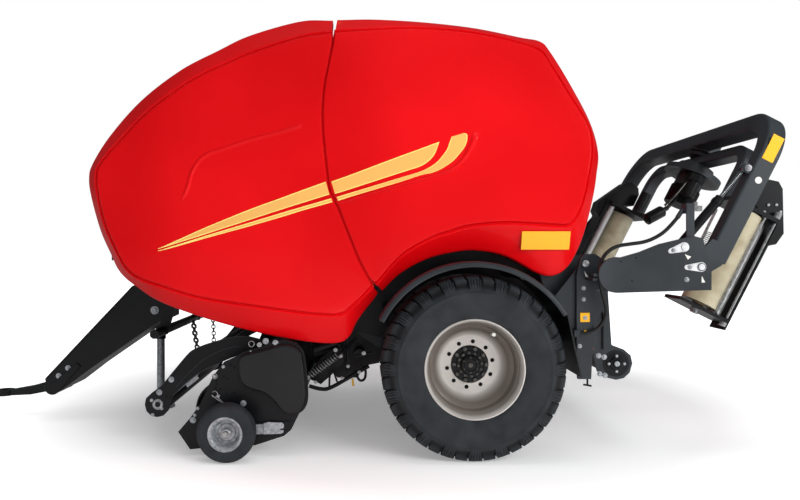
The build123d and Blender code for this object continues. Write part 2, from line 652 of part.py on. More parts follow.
# ---- wrapper: booms, tilt cylinders, portal, satellite ------------------------------
HOSE_END, HOSE_FITTING = (-2302, 1320, 1708), (-2340, 1320, 1767)
BOOM_TOP = [(-2014, 1465), (-2153, 1521), (-2390, 1577), (-2452, 1560), (-2512, 1350),
            (-2512, 1200), (-1862, 1180)]
with BuildPart() as booms:
    # side plate with a blind seat for its pivot pin, and the two pins of the portal
    with BuildSketch(Plane.XZ.offset(-(BOOM_Y + BOOM_T))):
        with Locations((BOOM_X, BOOM_Z)):
            Circle(125)
        with BuildLine():
            Polyline((BOOM_X - 20, BOOM_Z + 120), *BOOM_TOP, close=True)
        make_face()
    extrude(amount=BOOM_T)
    add(bar((BOOM_X, BOOM_Y - 5, BOOM_Z), (BOOM_X, BOOM_Y + 17, BOOM_Z), 30.4),
        mode=Mode.SUBTRACT)
    add(bar((TILT_X, 1296, TILT_Z), (TILT_X, BOOM_Y + BOOM_T + 12, TILT_Z), 28))
    # clamp of the upper hose, the valve block and the fitting that the hose ends in
    add(block((-1785, -1700), (1296, BOOM_Y + 2), (1294, 1314)))
    add(block((-2400, -2340), (BOOM_Y - 55, BOOM_Y), (1735, 1805)))
    add(block((-2400, -2345), (BOOM_Y, BOOM_Y + 12), (1560, 1805)))
    add(bar(HOSE_END, HOSE_FITTING, 16))
    add(bar((BARREL_X, 1254, BARREL_Z), (BARREL_X, BOOM_Y + BOOM_T + 12, BARREL_Z), 22))
    mirror(about=Plane.XZ)
write(booms.part, "booms")

STROKE = hypot(ROD_X - BARREL_X, ROD_Z - BARREL_Z)
ALONG = ((ROD_X - BARREL_X) / STROKE, (ROD_Z - BARREL_Z) / STROKE)


def on_cylinder(distance):
    """A point on the tilt cylinder's axis, at a distance from its barrel eye."""
    return (BARREL_X + ALONG[0] * distance, CYLINDER_Y, BARREL_Z + ALONG[1] * distance)


with BuildPart() as tilt_barrel_left:
    add(bar(on_cylinder(40), on_cylinder(460), 32))
    add(bar((BARREL_X, 1262, BARREL_Z), (BARREL_X, 1318, BARREL_Z), 42))
    add(bar((BARREL_X, 1260, BARREL_Z), (BARREL_X, 1320, BARREL_Z), 22.4), mode=Mode.SUBTRACT)
    add(bar(on_cylinder(60), on_cylinder(462), 16.3), mode=Mode.SUBTRACT)
write(tilt_barrel_left.part, "tilt_barrel_left")
write(mirrored(tilt_barrel_left.part), "tilt_barrel_right")

with BuildPart() as tilt_rod_left:
    add(bar(on_cylinder(240), on_cylinder(STROKE - 18), 16))
    add(bar((ROD_X, 1272, ROD_Z), (ROD_X, 1308, ROD_Z), 24))
    add(bar((ROD_X, 1270, ROD_Z), (ROD_X, 1310, ROD_Z), 15), mode=Mode.SUBTRACT)
write(tilt_rod_left.part, "tilt_rod_left")
write(mirrored(tilt_rod_left.part), "tilt_rod_right")


def portal_path(y_end, t_low, t_top, u, corner):
    """A plane for a bent frame in the satellite's Y and axis directions, and its corners."""
    flat = Plane(origin=SAT_PLANE.from_local_coords(Vector(u, 0, 0)), x_dir=(0, 1, 0),
                 z_dir=SAT_PLANE.x_dir)
    with BuildLine(flat) as path:
        FilletPolyline((-y_end, t_low), (-y_end, t_top), (y_end, t_top), (y_end, t_low),
                       radius=corner)
    return path.line


def bent_tube(path, wide, deep, wall):
    """A rectangular hollow section carried along a bent path; wide lies in the bend's plane."""
    start = Plane(origin=path @ 0, z_dir=path % 0, x_dir=(0, 1, 0))
    with BuildPart() as tube:
        with BuildSketch(start):
            RectangleRounded(wide, deep, 18)
            RectangleRounded(wide - 2 * wall, deep - 2 * wall, 10, mode=Mode.SUBTRACT)
        sweep(path=path)
    return tube.part


def sat_block(u, y, t):
    """A box in the satellite's own directions, given by its low and high u, y and t."""
    with BuildPart() as box:
        with BuildSketch(SAT_PLANE.offset(t[0])):
            with Locations(((u[0] + u[1]) / 2, (y[0] + y[1]) / 2)):
                Rectangle(u[1] - u[0], y[1] - y[0])
        extrude(amount=t[1] - t[0])
    return box.part


def sat_bar(u, y, low, high, radius, bore=0):
    """A round bar along the satellite's axis direction."""
    with BuildPart() as rod:
        with BuildSketch(SAT_PLANE.offset(low)):
            with Locations((u, y)):
                Circle(radius)
                if bore:
                    Circle(bore, mode=Mode.SUBTRACT)
        extrude(amount=high - low)
    return rod.part


portal_line = portal_path(PORTAL_Y, -1120, 15, PORTAL_U, 330)
with BuildPart() as portal_frame:
    add(bent_tube(portal_line, PORTAL_TUBE_Y, PORTAL_TUBE_U, PORTAL_WALL))
    # bearing housing of the satellite under the top beam
    add(sat_bar(0, 0, -66, -40, 150))
    add(sat_block((-60, 30), (-150, 150), (-66, 60)))
    FOOT = [
        (-2392, 1322), (-2378, 1361), (-2392, 1402), (-2460, 1480), (-2540, 1556),
        (-2662, 1500), (-2600, 1370), (-2500, 1310), (-2438, 1301),
    ]
    for side in (1, -1):
        low = min(side * 1312, side * 1344)
        add(slab(FOOT, low, low + 32))
        add(bar((TILT_X, low - 20, TILT_Z), (TILT_X, low + 52, TILT_Z), 28.4),
            mode=Mode.SUBTRACT)
        for lug_y in (1252, 1314):
            low = min(side * lug_y, side * (lug_y + 14))
            add(sat_block((140, 205), (low, low + 14), (-475, -412)))
write(portal_frame.part, "portal_frame")

arm_line = portal_path(870, -600, -140, 0, 170)
with BuildPart() as satellite_arms:
    add(bent_tube(arm_line, 90, 110, 6))
    # slewing neck above, toothed ring, hub and rotary valve block below
    add(sat_bar(0, 0, -96, -72, 120))
    add(sat_bar(0, 0, -245, -184, 150))
    add(sat_bar(0, 0, -290, -245, 240))
    add(sat_bar(0, 0, -480, -290, 115))
write(satellite_arms.part, "satellite_arms")


DRIVE_BOX = [
    (-2962, 1860), (-3022, 1970), (-3080, 2005), (-3170, 1985), (-3200, 1930), (-3207, 1600),
    (-3150, 1520), (-3075, 1505), (-3085, 1640), (-3060, 1735),
]


def film_unit():
    """Film stretcher carriage of the left arm: plates, stretch rollers, drive box, guard."""
    with BuildPart() as unit:
        add(sat_block((-300, 90), (815, 1120), (-630, -600)))
        add(sat_block((-300, 90), (850, 1120), (-1452, -1426)))
        add(sat_block((-330, -318), (860, 1080), (-1500, -602)))
        add(sat_block((-318, -300), (860, 1080), (-630, -602)))
        add(sat_block((-318, -300), (860, 1080), (-1452, -1426)))
        add(slab(DRIVE_BOX, 880, 1060))
        for u, y in ((-255, 905), (-255, 985)):
            add(sat_bar(u, y, -1426, -630, 32))
        for u, y in ((-290, 1095), (-200, 1108)):
            add(sat_bar(u, y, -1426, -630, 7))
        # pads that the film roll turns on, above and below
        add(sat_bar(FILM_U, FILM_Y, -650, -630, 38))
        add(sat_bar(FILM_U, FILM_Y, -1426, -1408, 38))
        # film cutter's small cylinder inside the arm
        add(sat_bar(-40, 765, -600, -400, 50))
        add(sat_block((-60, 60), (765, 822), (-602, -585)))
    return unit.part


with BuildPart() as film_unit_left:
    add(film_unit())
write(film_unit_left.part, "film_unit_left")
HALF_TURN = Axis(SAT_PLANE.origin, SAT_PLANE.z_dir)
write(film_unit_left.part.rotate(HALF_TURN, 180), "film_unit_right")

with BuildPart() as film_roll_left:
    low = FILM_TOP - FILM_LENGTH
    add(sat_bar(FILM_U, FILM_Y, low, FILM_TOP, FILM_R, 38.5))
write(film_roll_left.part, "film_roll_left")
write(film_roll_left.part.rotate(HALF_TURN, 180), "film_roll_right")

# ---- hoses --------------------------------------------------------------------------
HOSE_R = 13
HOSE_LOWER = [
    (-1650, 1190, 875), (-1702, 1190, 875), (-1763, 1194, 897), (-1809, 1206, 943),
    (-1831, 1226, 1004), (-1826, 1252, 1069), (-1778, 1296, 1178), (-1755, 1320, 1262),
]
HOSE_UPPER = [
    (-1755, 1320, 1314), (-1757, 1320, 1372), (-1779, 1320, 1433), (-1824, 1320, 1480),
    (-1887, 1320, 1510), (-1976, 1320, 1522), (-2075, 1320, 1535), (-2165, 1320, 1574),
    (-2240, 1320, 1632), HOSE_END,
]


def hose(points):
    """A round hose of straight runs joined by arcs as large as the runs allow."""
    route = [Vector(*p) for p in points]
    radii = []
    for a, b, c in zip(route, route[1:], route[2:]):
        turn = (b - a).get_angle(c - b)
        shorter = min((b - a).length, (c - b).length)
        radii.append(0.45 * shorter / tan(radians(turn / 2)))
    print("hose bend radii", [round(value) for value in radii])
    with BuildLine() as path:
        FilletPolyline(*route, radius=radii)
    wire = path.wires()[0]
    with BuildPart() as tube:
        with BuildSketch(Plane(origin=wire @ 0, z_dir=wire % 0)):
            Circle(HOSE_R)
        sweep(path=wire)
    section = pi * HOSE_R ** 2
    print("hose length", round(wire.length), "volume ratio", tube.part.volume / (wire.length * section))
    return tube.part


with BuildPart() as hose_lower:
    add(hose(HOSE_LOWER))
write(hose_lower.part, "hose_lower")
with BuildPart() as hose_upper:
    add(hose(HOSE_UPPER))
write(hose_upper.part, "hose_upper")
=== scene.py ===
# %% [markdown]
# # Round baler with a twin-satellite wrapper
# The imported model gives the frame: metres, +X forwards, +Y to the machine's left, +Z up.
# The camera comes first, then finishes and helpers, and then the machine, piece by piece.
# %% Load the frame
import json
from math import cos, pi, radians, sin

import bpy
import numpy as np
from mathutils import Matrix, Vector

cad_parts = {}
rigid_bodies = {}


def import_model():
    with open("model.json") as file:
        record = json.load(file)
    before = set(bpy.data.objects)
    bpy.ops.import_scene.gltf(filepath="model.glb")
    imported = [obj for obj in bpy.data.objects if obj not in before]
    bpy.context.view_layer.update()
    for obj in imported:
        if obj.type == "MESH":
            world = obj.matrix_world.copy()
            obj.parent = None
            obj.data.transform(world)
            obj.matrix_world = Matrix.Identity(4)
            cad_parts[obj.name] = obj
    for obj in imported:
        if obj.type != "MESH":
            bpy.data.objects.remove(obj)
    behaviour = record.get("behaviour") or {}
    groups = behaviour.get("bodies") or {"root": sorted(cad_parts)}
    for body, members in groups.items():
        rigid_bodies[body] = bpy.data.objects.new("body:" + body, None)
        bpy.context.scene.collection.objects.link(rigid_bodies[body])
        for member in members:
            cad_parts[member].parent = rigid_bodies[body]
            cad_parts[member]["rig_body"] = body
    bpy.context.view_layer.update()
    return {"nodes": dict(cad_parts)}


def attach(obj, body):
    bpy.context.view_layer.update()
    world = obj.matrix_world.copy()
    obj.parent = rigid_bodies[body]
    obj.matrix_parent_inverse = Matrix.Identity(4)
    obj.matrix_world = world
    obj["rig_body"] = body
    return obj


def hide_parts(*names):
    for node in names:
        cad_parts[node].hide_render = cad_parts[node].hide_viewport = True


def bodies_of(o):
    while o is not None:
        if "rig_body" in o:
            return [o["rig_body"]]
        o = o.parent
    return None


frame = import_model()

scene = bpy.context.scene
SIDES = (("left", 1), ("right", -1))

# %% [markdown]
# The camera stands off the machine's left side at chest height and looks square across it, so
# that circles on the side stay circles. A longer lens from further off would flatten the wheels
# against the body; this one keeps the depth between wheel, panel and portal.
# %% Camera
camera_data = bpy.data.cameras.new("camera")
camera_data.lens = 31.5
camera_data.sensor_width = 36
camera_data.shift_x = 0.0475
camera_data.shift_y = -0.00375
camera_data.clip_start, camera_data.clip_end = 0.1, 100
camera = bpy.data.objects.new("camera", camera_data)
camera.location = (-0.08, 6.25, 1.50)
camera.rotation_euler = (radians(90), 0, radians(180))
scene.collection.objects.link(camera)
scene.camera = camera
print("camera at", tuple(camera.location))


# %% [markdown]
# A finish starts from the real one. Colours are written as they look on a screen and turned
# into linear light by one function; one more adds a shader node with its settings and links.
# %% Helpers for finishes
def linear(code):
    """Linear RGBA of a #rrggbb colour: c/12.92 below 0.04045, else ((c + 0.055)/1.055)^2.4."""
    c = np.array([int(code[i:i + 2], 16) / 255 for i in (1, 3, 5)])
    return (*np.where(c <= 0.04045, c / 12.92, ((c + 0.055) / 1.055) ** 2.4), 1.0)


def node(material, kind, settings=None, links=None):
    """Adds one node: settings fill its values, links join (other node, output) to its inputs."""
    tree = material.node_tree
    made = tree.nodes.new(kind)
    for name, value in (settings or {}).items():
        if name in made.inputs:
            made.inputs[name].default_value = value
        else:
            setattr(made, name, value)
    for name, (other, output) in (links or {}).items():
        tree.links.new(other.outputs[output], made.inputs[name])
    return made


def finish_of(name, colour, **values):
    """A material of one plain colour; values go straight onto the shader's sockets."""
    material = bpy.data.materials.new(name)
    material.use_nodes = True
    shader = material.node_tree.nodes["Principled BSDF"]
    shader.inputs["Base Color"].default_value = linear(colour)
    for key, value in values.items():
        shader.inputs[key.replace("_", " ")].default_value = value
    material.diffuse_color = linear(colour)
    return material


def worn(material, colour_a, colour_b, grain, rough, bump, bump_scale, detail=4.0):
    """Adds a slow change of colour and roughness (grain, per metre) and a fine relief.

    The relief is noise at bump_scale per metre with bump as its height in metres.
    """
    shader = material.node_tree.nodes["Principled BSDF"]
    place = node(material, "ShaderNodeTexCoord")
    patches = node(material, "ShaderNodeTexNoise", {"Scale": grain, "Detail": detail},
                   {"Vector": (place, "Object")})
    ramp = node(material, "ShaderNodeValToRGB", None, {"Fac": (patches, "Fac")})
    ramp.color_ramp.elements[0].position = 0.35
    ramp.color_ramp.elements[1].position = 0.65
    ramp.color_ramp.elements[0].color = linear(colour_a)
    ramp.color_ramp.elements[1].color = linear(colour_b)
    material.node_tree.links.new(ramp.outputs["Color"], shader.inputs["Base Color"])
    sheen = node(material, "ShaderNodeMapRange", {"To Min": rough[0], "To Max": rough[1]},
                 {"Value": (patches, "Fac")})
    material.node_tree.links.new(sheen.outputs["Result"], shader.inputs["Roughness"])
    fine = node(material, "ShaderNodeTexNoise", {"Scale": bump_scale, "Detail": 2.0},
                {"Vector": (place, "Object")})
    relief = node(material, "ShaderNodeBump", {"Strength": 1.0, "Distance": bump},
                  {"Height": (fine, "Fac")})
    material.node_tree.links.new(relief.outputs["Normal"], shader.inputs["Normal"])
    return material


# %% [markdown]
# The body panels are glass-fibre mouldings in a sprayed polyurethane topcoat, so a red base
# lies under a clear gloss layer. The frame is powder coated: the coat melts into a low gloss
# with a faint orange peel of about 2 mm. Running gear is zinc plated, bright steel or chrome,
# and tyres are carbon-filled natural rubber, which is dull and slightly grey with bloom.
# %% Finishes
# polyurethane topcoat over glass-fibre, IOR 1.5
red_paint = worn(
    finish_of("topcoat_red", "#d20a12", IOR=1.5, Coat_Weight=0.15, Coat_Roughness=0.06,
              Specular_IOR_Level=0.14),
    "#c80006", "#e00810", 0.9, (0.36, 0.44), 0.00004, 60, detail=1.5)
# cast vinyl film, 0.1 mm, gloss laminated
stripe_fill = finish_of("vinyl_amber", "#f0b45e", Roughness=0.35, Coat_Weight=0.4)
stripe_edge = finish_of("vinyl_cream", "#f8e27a", Roughness=0.35, Coat_Weight=0.4)
yellow_plate = finish_of("vinyl_yellow", "#f0b010", Roughness=0.4, Coat_Weight=0.3)
pale_plate = finish_of("vinyl_white", "#d9d8d2", Roughness=0.45, Coat_Weight=0.3)
# polyester powder coat, anthracite and black
frame_grey = worn(finish_of("powder_coat_anthracite", "#282c30", IOR=1.5),
                  "#212529", "#303539", 2.0, (0.36, 0.50), 0.00012, 450)
frame_black = worn(finish_of("powder_coat_black", "#0b0c0e", IOR=1.5,
                             Specular_IOR_Level=0.35),
                   "#08090b", "#101114", 2.6, (0.32, 0.46), 0.00012, 450)
# natural rubber with carbon black
rubber = worn(finish_of("tyre_rubber", "#222528", IOR=1.52),
              "#1b1e21", "#2a2e32", 7.0, (0.62, 0.80), 0.0004, 260)
hose_rubber = worn(finish_of("hose_rubber", "#101113", IOR=1.52),
                   "#0d0e10", "#17181a", 20.0, (0.45, 0.6), 0.0002, 900)
# aluminium-pigment wheel enamel
rim_paint = worn(finish_of("wheel_enamel_silver", "#c8c3be", Metallic=0.25, IOR=1.5),
                 "#beb9b4", "#d6d1cc", 3.0, (0.34, 0.46), 0.0001, 300)
# hot-dip zinc with its spangle, bright turned steel, hard chrome
zinc = worn(finish_of("zinc_plated_steel", "#b4b8bc", Metallic=0.6),
            "#9a9ea3", "#c6cace", 45.0, (0.30, 0.48), 0.00005, 200)
# fresh, thicker zinc on small laser-cut keepers: nearly white and softly shiny
keeper_zinc = worn(finish_of("bright_zinc_plate", "#dddfe0", Metallic=0.35),
                   "#cfd1d3", "#e6e8e9", 25.0, (0.34, 0.46), 0.00004, 300)
bright_steel = worn(finish_of("turned_steel", "#b2b3b4", Metallic=0.75),
                    "#a0a1a2", "#c4c5c6", 30.0, (0.22, 0.36), 0.00003, 700)
chrome = finish_of("hard_chrome", "#c9cbcd", Metallic=1.0, Roughness=0.09)
# worn tine steel, polished by crop
worn_steel = worn(finish_of("spring_steel", "#5c5b59", Metallic=1.0),
                  "#504e4b", "#6e6d6a", 25.0, (0.28, 0.45), 0.00005, 300)
# linear low-density polyethylene stretch film, many layers wound tight
film_white = worn(finish_of("stretch_film", "#a69d82", IOR=1.5, Coat_Weight=0.5,
                            Coat_Roughness=0.12),
                  "#9a9076", "#b3aa90", 9.0, (0.28, 0.40), 0.0003, 35)
# polypropylene mouldings
plastic_black = worn(finish_of("moulded_polypropylene", "#0f1012", IOR=1.49),
                     "#0d0e10", "#141618", 4.0, (0.28, 0.38), 0.00015, 500)
# acrylic reflector and lamp lens: clear gloss over colour
reflector_orange = finish_of("acrylic_amber", "#f0601c", Roughness=0.15, Coat_Weight=1.0)
lamp_red = finish_of("acrylic_red", "#b3121a", Roughness=0.12, Coat_Weight=1.0)
# extruded aluminium of the stretch rollers, brass of a grease tag
ribbed_alu = finish_of("extruded_aluminium", "#dfe0e1", Metallic=0.7, Roughness=0.3)
brass = finish_of("brass", "#c8a24a", Metallic=1.0, Roughness=0.3)
# painted shade: a dull black disc drawn where the shadow inside a bolt hole falls
hole_shade_black = finish_of("unlit_black", "#050506", Roughness=0.9)

# %% [markdown]
# Every modelled node takes the finish of its real part. Nodes that a finer piece replaces later
# get theirs too, so that nothing is ever bare.
# %% Which finish each modelled node gets
FINISHES = (
    (red_paint, "front_hood side_door_left side_door_right tailgate_panel_left "
                "tailgate_panel_right tailgate_roof"),
    (frame_grey, "side_walls rear_supports table_frame tailgate_drum booms portal_frame "
                 "satellite_arms"),
    (frame_black, "chamber_front chassis_frame axle gearbox drawbar hitch_eye jack_tube "
                  "chain_bar pickup_frame pickup_bands pickup_reel guard_frame crop_roller "
                  "table_roller tilt_barrel_left tilt_barrel_right film_unit_left "
                  "film_unit_right"),
    (plastic_black, "mudguards pickup_covers"), (zinc, "jack_leg"),
    (rubber, "tyre_left tyre_right gauge_tyre_left gauge_tyre_right"),
    (rim_paint, "rim_left rim_right gauge_rim_left gauge_rim_right"),
    (hose_rubber, "hose_lower hose_upper"), (chrome, "tilt_rod_left tilt_rod_right"),
    (film_white, "film_roll_left film_roll_right"),
)
for finish, names in FINISHES:
    for name in names.split():
        for place in frame["nodes"][name].material_slots:
            place.material = finish
print(sum(len(names.split()) for _, names in FINISHES), "of", len(frame["nodes"]), "nodes finished")

# %% [markdown]
# New pieces are numpy arrays of points and faces, merged and turned into a mesh in one go. A
# grid of points is the base of all of them: a tube, a turned body and a moulded panel differ
# only in the function that fills the grid.
# %% Helpers for shapes
def grid(points, wrap_rows=False, wrap_cols=False, flip=False):
    """Quads over a (rows, cols, 3) array: point (i, j) joins (i+1, j), (i+1, j+1), (i, j+1)."""
    rows, cols = points.shape[:2]
    i, j = np.meshgrid(np.arange(rows - (not wrap_rows)), np.arange(cols - (not wrap_cols)),
                       indexing="ij")
    i2, j2 = (i + 1) % rows, (j + 1) % cols
    quads = np.stack([i * cols + j, i2 * cols + j, i2 * cols + j2, i * cols + j2], -1)
    quads = quads.reshape(-1, 4)
    return points.reshape(-1, 3), [quads[:, ::-1] if flip else quads]


def cap(ring, flip=False):
    """One face over a ring of points."""
    face = np.arange(len(ring))[None]
    return ring, [face[:, ::-1] if flip else face]


def merge(*shapes):
    """Several shapes as one, their face numbers moved up by the points before them."""
    starts = np.cumsum([0] + [len(s[0]) for s in shapes[:-1]])
    faces = [f + start for s, start in zip(shapes, starts) for f in s[1]]
    return np.concatenate([s[0] for s in shapes]), faces


def axes_for(direction):
    """Three unit axes in columns, the last along the direction."""
    w = np.asarray(direction, float)
    w = w / np.linalg.norm(w)
    side = np.array([0.0, 0, 1]) if abs(w[2]) < 0.9 else np.array([1.0, 0, 0])
    u = np.cross(side, w)
    u /= np.linalg.norm(u)
    return np.stack([u, np.cross(w, u), w], 1)


def placed(shape, origin, direction=(0, 0, 1), turn=0.0):
    """A shape moved to origin with its z along direction, after a turn about its own z."""
    c, s = cos(turn), sin(turn)
    spun = shape[0] @ np.array([[c, -s, 0], [s, c, 0], [0, 0, 1]]).T
    return spun @ axes_for(direction).T + np.asarray(origin, float), shape[1]


def mirrored(shape):
    """The same shape on the other side of the machine, faces turned back outwards."""
    return shape[0] * [1, -1, 1], [f[:, ::-1] for f in shape[1]]


def on_side(shape, sign):
    """The shape as it is for the left, sign 1, or mirrored for the right, sign -1."""
    return shape if sign > 0 else mirrored(shape)


def leftwards(shape, at, turn=0.0):
    """A shape made about z, laid along the machine's +Y with its base at a point."""
    return placed(shape, at, (0, 1, 0), turn)


def signed_area(outline):
    """Twice the area of a closed outline, the sum of x y' - x' y: positive anticlockwise."""
    x, y = outline.T
    return np.sum(x * np.roll(y, -1) - np.roll(x, -1) * y)


def right_of(way):
    """Unit vectors a quarter turn clockwise from each (x, z) direction."""
    return np.stack([way[:, 1], -way[:, 0]], 1) / np.linalg.norm(way, axis=1)[:, None]


def at_depth(flat, y):
    """(x, z) points as 3-D ones at y, which is one number or one for each."""
    return np.column_stack([flat[:, 0], np.broadcast_to(y, len(flat)), flat[:, 1]])


def turned(profile, steps=48, closed=False):
    """A profile of (radius, z) turned about z, whichever way round it was listed.

    x = r cos t and y = r sin t.
    """
    profile = np.array(profile, float)
    r, z = (profile[::-1] if signed_area(profile) < 0 else profile).T
    t = np.linspace(0, 2 * pi, steps, endpoint=False)
    points = np.stack([np.outer(np.cos(t), r), np.outer(np.sin(t), r),
                       np.broadcast_to(z, (steps, len(z)))], -1)
    return grid(points, wrap_rows=True, wrap_cols=closed)


def pin(radius, z0, z1, steps=24):
    """A plain round pin about z between two heights."""
    return turned([(0, z0), (radius, z0), (radius, z1), (0, z1)], steps)


def smooth_line(points, spacing, closed=False):
    """Points every spacing metres along a Catmull-Rom curve through the given ones."""
    p = np.array(points, float)
    before = np.vstack([p[-1:] if closed else 2 * p[:1] - p[1:2], p])
    after = np.vstack([p[:1], p[1:2]] if closed else [2 * p[-1:] - p[-2:-1]])
    q = np.vstack([before, after])
    t = np.linspace(0, 1, 24, endpoint=False)[:, None]
    a, b, c, d = (q[k:len(q) - 3 + k, None] for k in range(4))
    curve = 0.5 * (2 * b + (c - a) * t + (2 * a - 5 * b + 4 * c - d) * t ** 2
                   + (3 * b - a - 3 * c + d) * t ** 3)
    curve = curve.reshape(-1, p.shape[1])
    curve = np.vstack([curve, curve[:1] if closed else p[-1:]])
    run = np.concatenate([[0], np.cumsum(np.linalg.norm(np.diff(curve, axis=0), axis=1))])
    count = max(int(round(run[-1] / spacing)), 4)
    s = np.linspace(0, run[-1], count + 1)[:-1] if closed else np.linspace(0, run[-1], count + 1)
    return np.stack([np.interp(s, run, curve[:, k]) for k in range(p.shape[1])], 1)


def tube(points, radius, sides=12, closed=False, ends=True):
    """A round tube along a line, its rings turned as little as possible between points."""
    p = np.asarray(points, float)
    way = np.gradient(p, axis=0)
    if closed:
        way = np.roll(p, -1, 0) - np.roll(p, 1, 0)
    way /= np.linalg.norm(way, axis=1)[:, None]
    up = (0.13, 0.21, 0.97) if abs(way[:, 2]).max() < 0.9 else (0.2, 0.97, 0.11)
    u = np.cross(up, way)
    u /= np.linalg.norm(u, axis=1)[:, None]
    v = np.cross(way, u)
    t = np.linspace(0, 2 * pi, sides, endpoint=False)
    r = np.broadcast_to(radius, (len(p),))[:, None, None]
    rings = p[:, None] + r * (np.cos(t)[None, :, None] * u[:, None]
                              + np.sin(t)[None, :, None] * v[:, None])
    body = grid(rings, wrap_rows=closed, wrap_cols=True, flip=True)
    if closed or not ends:
        return body
    return merge(body, cap(rings[0], flip=True), cap(rings[-1]))


def plate(outline, y0, y1, edge=0.002):
    """A flat plate cut to an (x, z) outline between two y, its long edges chamfered by edge."""
    p = np.array(outline, float)
    if signed_area(p) < 0:
        p = p[::-1]
    na, nb = -right_of(p - np.roll(p, 1, 0)), -right_of(np.roll(p, -1, 0) - p)
    inner = p + edge * (na + nb) / np.maximum(1 + np.sum(na * nb, 1), 0.3)[:, None]
    low, high = min(y0, y1), max(y0, y1)
    rings = [(inner, low), (p, low + edge), (p, high - edge), (inner, high)]
    points = np.stack([at_depth(*ring) for ring in rings])
    return merge(grid(points, wrap_cols=True), cap(points[0]), cap(points[-1], flip=True))


def box_shape(x, y, z, edge=0.002):
    """A block with chamfered long edges, given by its low and high x, y and z."""
    return plate([(x[0], z[0]), (x[1], z[0]), (x[1], z[1]), (x[0], z[1])], *y, edge=edge)


def body_of(name):
    """The body a modelled node rides on."""
    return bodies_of(frame["nodes"][name])[0]


def make(name, shape, finish, body, angle=35):
    """A mesh object from a shape: smooth within the angle, riding a body, with one finish."""
    mesh = bpy.data.meshes.new(name)
    mesh.from_pydata(shape[0].tolist(), [], [f for block in shape[1] for f in block.tolist()])
    mesh.validate()
    mesh.shade_smooth()
    mesh.set_sharp_from_angle(angle=radians(angle))
    mesh.materials.append(finish)
    made = bpy.data.objects.new(name, mesh)
    scene.collection.objects.link(made)
    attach(made, body)
    return made


def both_sides(name, shape, finish, body, angle=35):
    """One piece of the same thing on the left and, mirrored, on the right."""
    return make(name, merge(shape, mirrored(shape)), finish, body, angle)


def thicken(piece, thickness):
    """Gives a sheet its thickness inwards."""
    shell = piece.modifiers.new("thickness", "SOLIDIFY")
    shell.thickness, shell.offset = thickness, -1


def mark(piece, name, values):
    """Writes one number for each point, for a finish to read."""
    piece.data.attributes.new(name, "FLOAT", "POINT").data.foreach_set("value", values)


print("helpers ready")

# %% [markdown]
# The two hydraulic hoses of each wrapper run from the chassis to the boom. A hose is a smooth
# round tube, so a NURBS curve with a round bevel is the whole shape; its control points are
# the ones the modelled hose follows. The boom's pivot parts them, so each half rides one body.
# %% Hoses
HOSES = {
    "hose_lower": ("chassis", [
        (-1.650, 1.190, 0.875), (-1.702, 1.190, 0.875), (-1.763, 1.194, 0.897),
        (-1.809, 1.206, 0.943), (-1.831, 1.226, 1.004), (-1.826, 1.252, 1.069),
        (-1.778, 1.296, 1.178), (-1.755, 1.320, 1.262)]),
    "hose_upper": ("wrapper_boom", [
        (-1.755, 1.320, 1.314), (-1.757, 1.320, 1.372), (-1.779, 1.320, 1.433),
        (-1.824, 1.320, 1.480), (-1.887, 1.320, 1.510), (-1.976, 1.320, 1.522),
        (-2.075, 1.320, 1.535), (-2.165, 1.320, 1.574), (-2.240, 1.320, 1.632),
        (-2.302, 1.320, 1.708)]),
}
HOSE_D = 0.026
for name, (body, route) in HOSES.items():
    curve = bpy.data.curves.new(name + "_rubber", "CURVE")
    curve.dimensions = "3D"
    curve.bevel_depth = HOSE_D / 2
    curve.bevel_resolution = 6
    curve.resolution_u = 10
    curve.use_fill_caps = True
    line = curve.splines.new("NURBS")
    line.points.add(len(route) - 1)
    line.points.foreach_set("co", np.column_stack([route, np.ones(len(route))]).ravel())
    line.order_u = 3
    line.use_endpoint_u = True
    curve.materials.append(hose_rubber)
    rubber_hose = bpy.data.objects.new(name + "_rubber", curve)
    scene.collection.objects.link(rubber_hose)
    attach(rubber_hose, body)
    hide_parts(name)

# %% [markdown]
# The drive tyres are flotation tyres with a block tread. The mould cuts grooves between blocks,
# so the tyre is one carcass pushed outwards wherever a block stands: a function of the angle
# and of the place along the cross section. Separate blocks stuck on would show their seams.
# %% Drive tyres
def rise(value, start, end):
    """Smooth step: 0 before start, 1 after end, 3t^2 - 2t^3 between."""
    t = np.clip((value - start) / (end - start), 0, 1)
    return t * t * (3 - 2 * t)


def window(value, half, soft):
    """1 where |value| is under half, falling to 0 over soft."""
    return 1 - rise(np.abs(value), half, half + soft)


HALF_SECTION = [
    (0.338, 0.236), (0.346, 0.252), (0.362, 0.264), (0.400, 0.277), (0.450, 0.286),
    (0.500, 0.289), (0.528, 0.289), (0.534, 0.294), (0.541, 0.294), (0.546, 0.283),
    (0.556, 0.279), (0.563, 0.270), (0.580, 0.260), (0.600, 0.243), (0.616, 0.220),
    (0.625, 0.195), (0.628, 0.140), (0.629, 0.070),
]
AXLE_AT = np.array([-0.862, 1.150, 0.650])


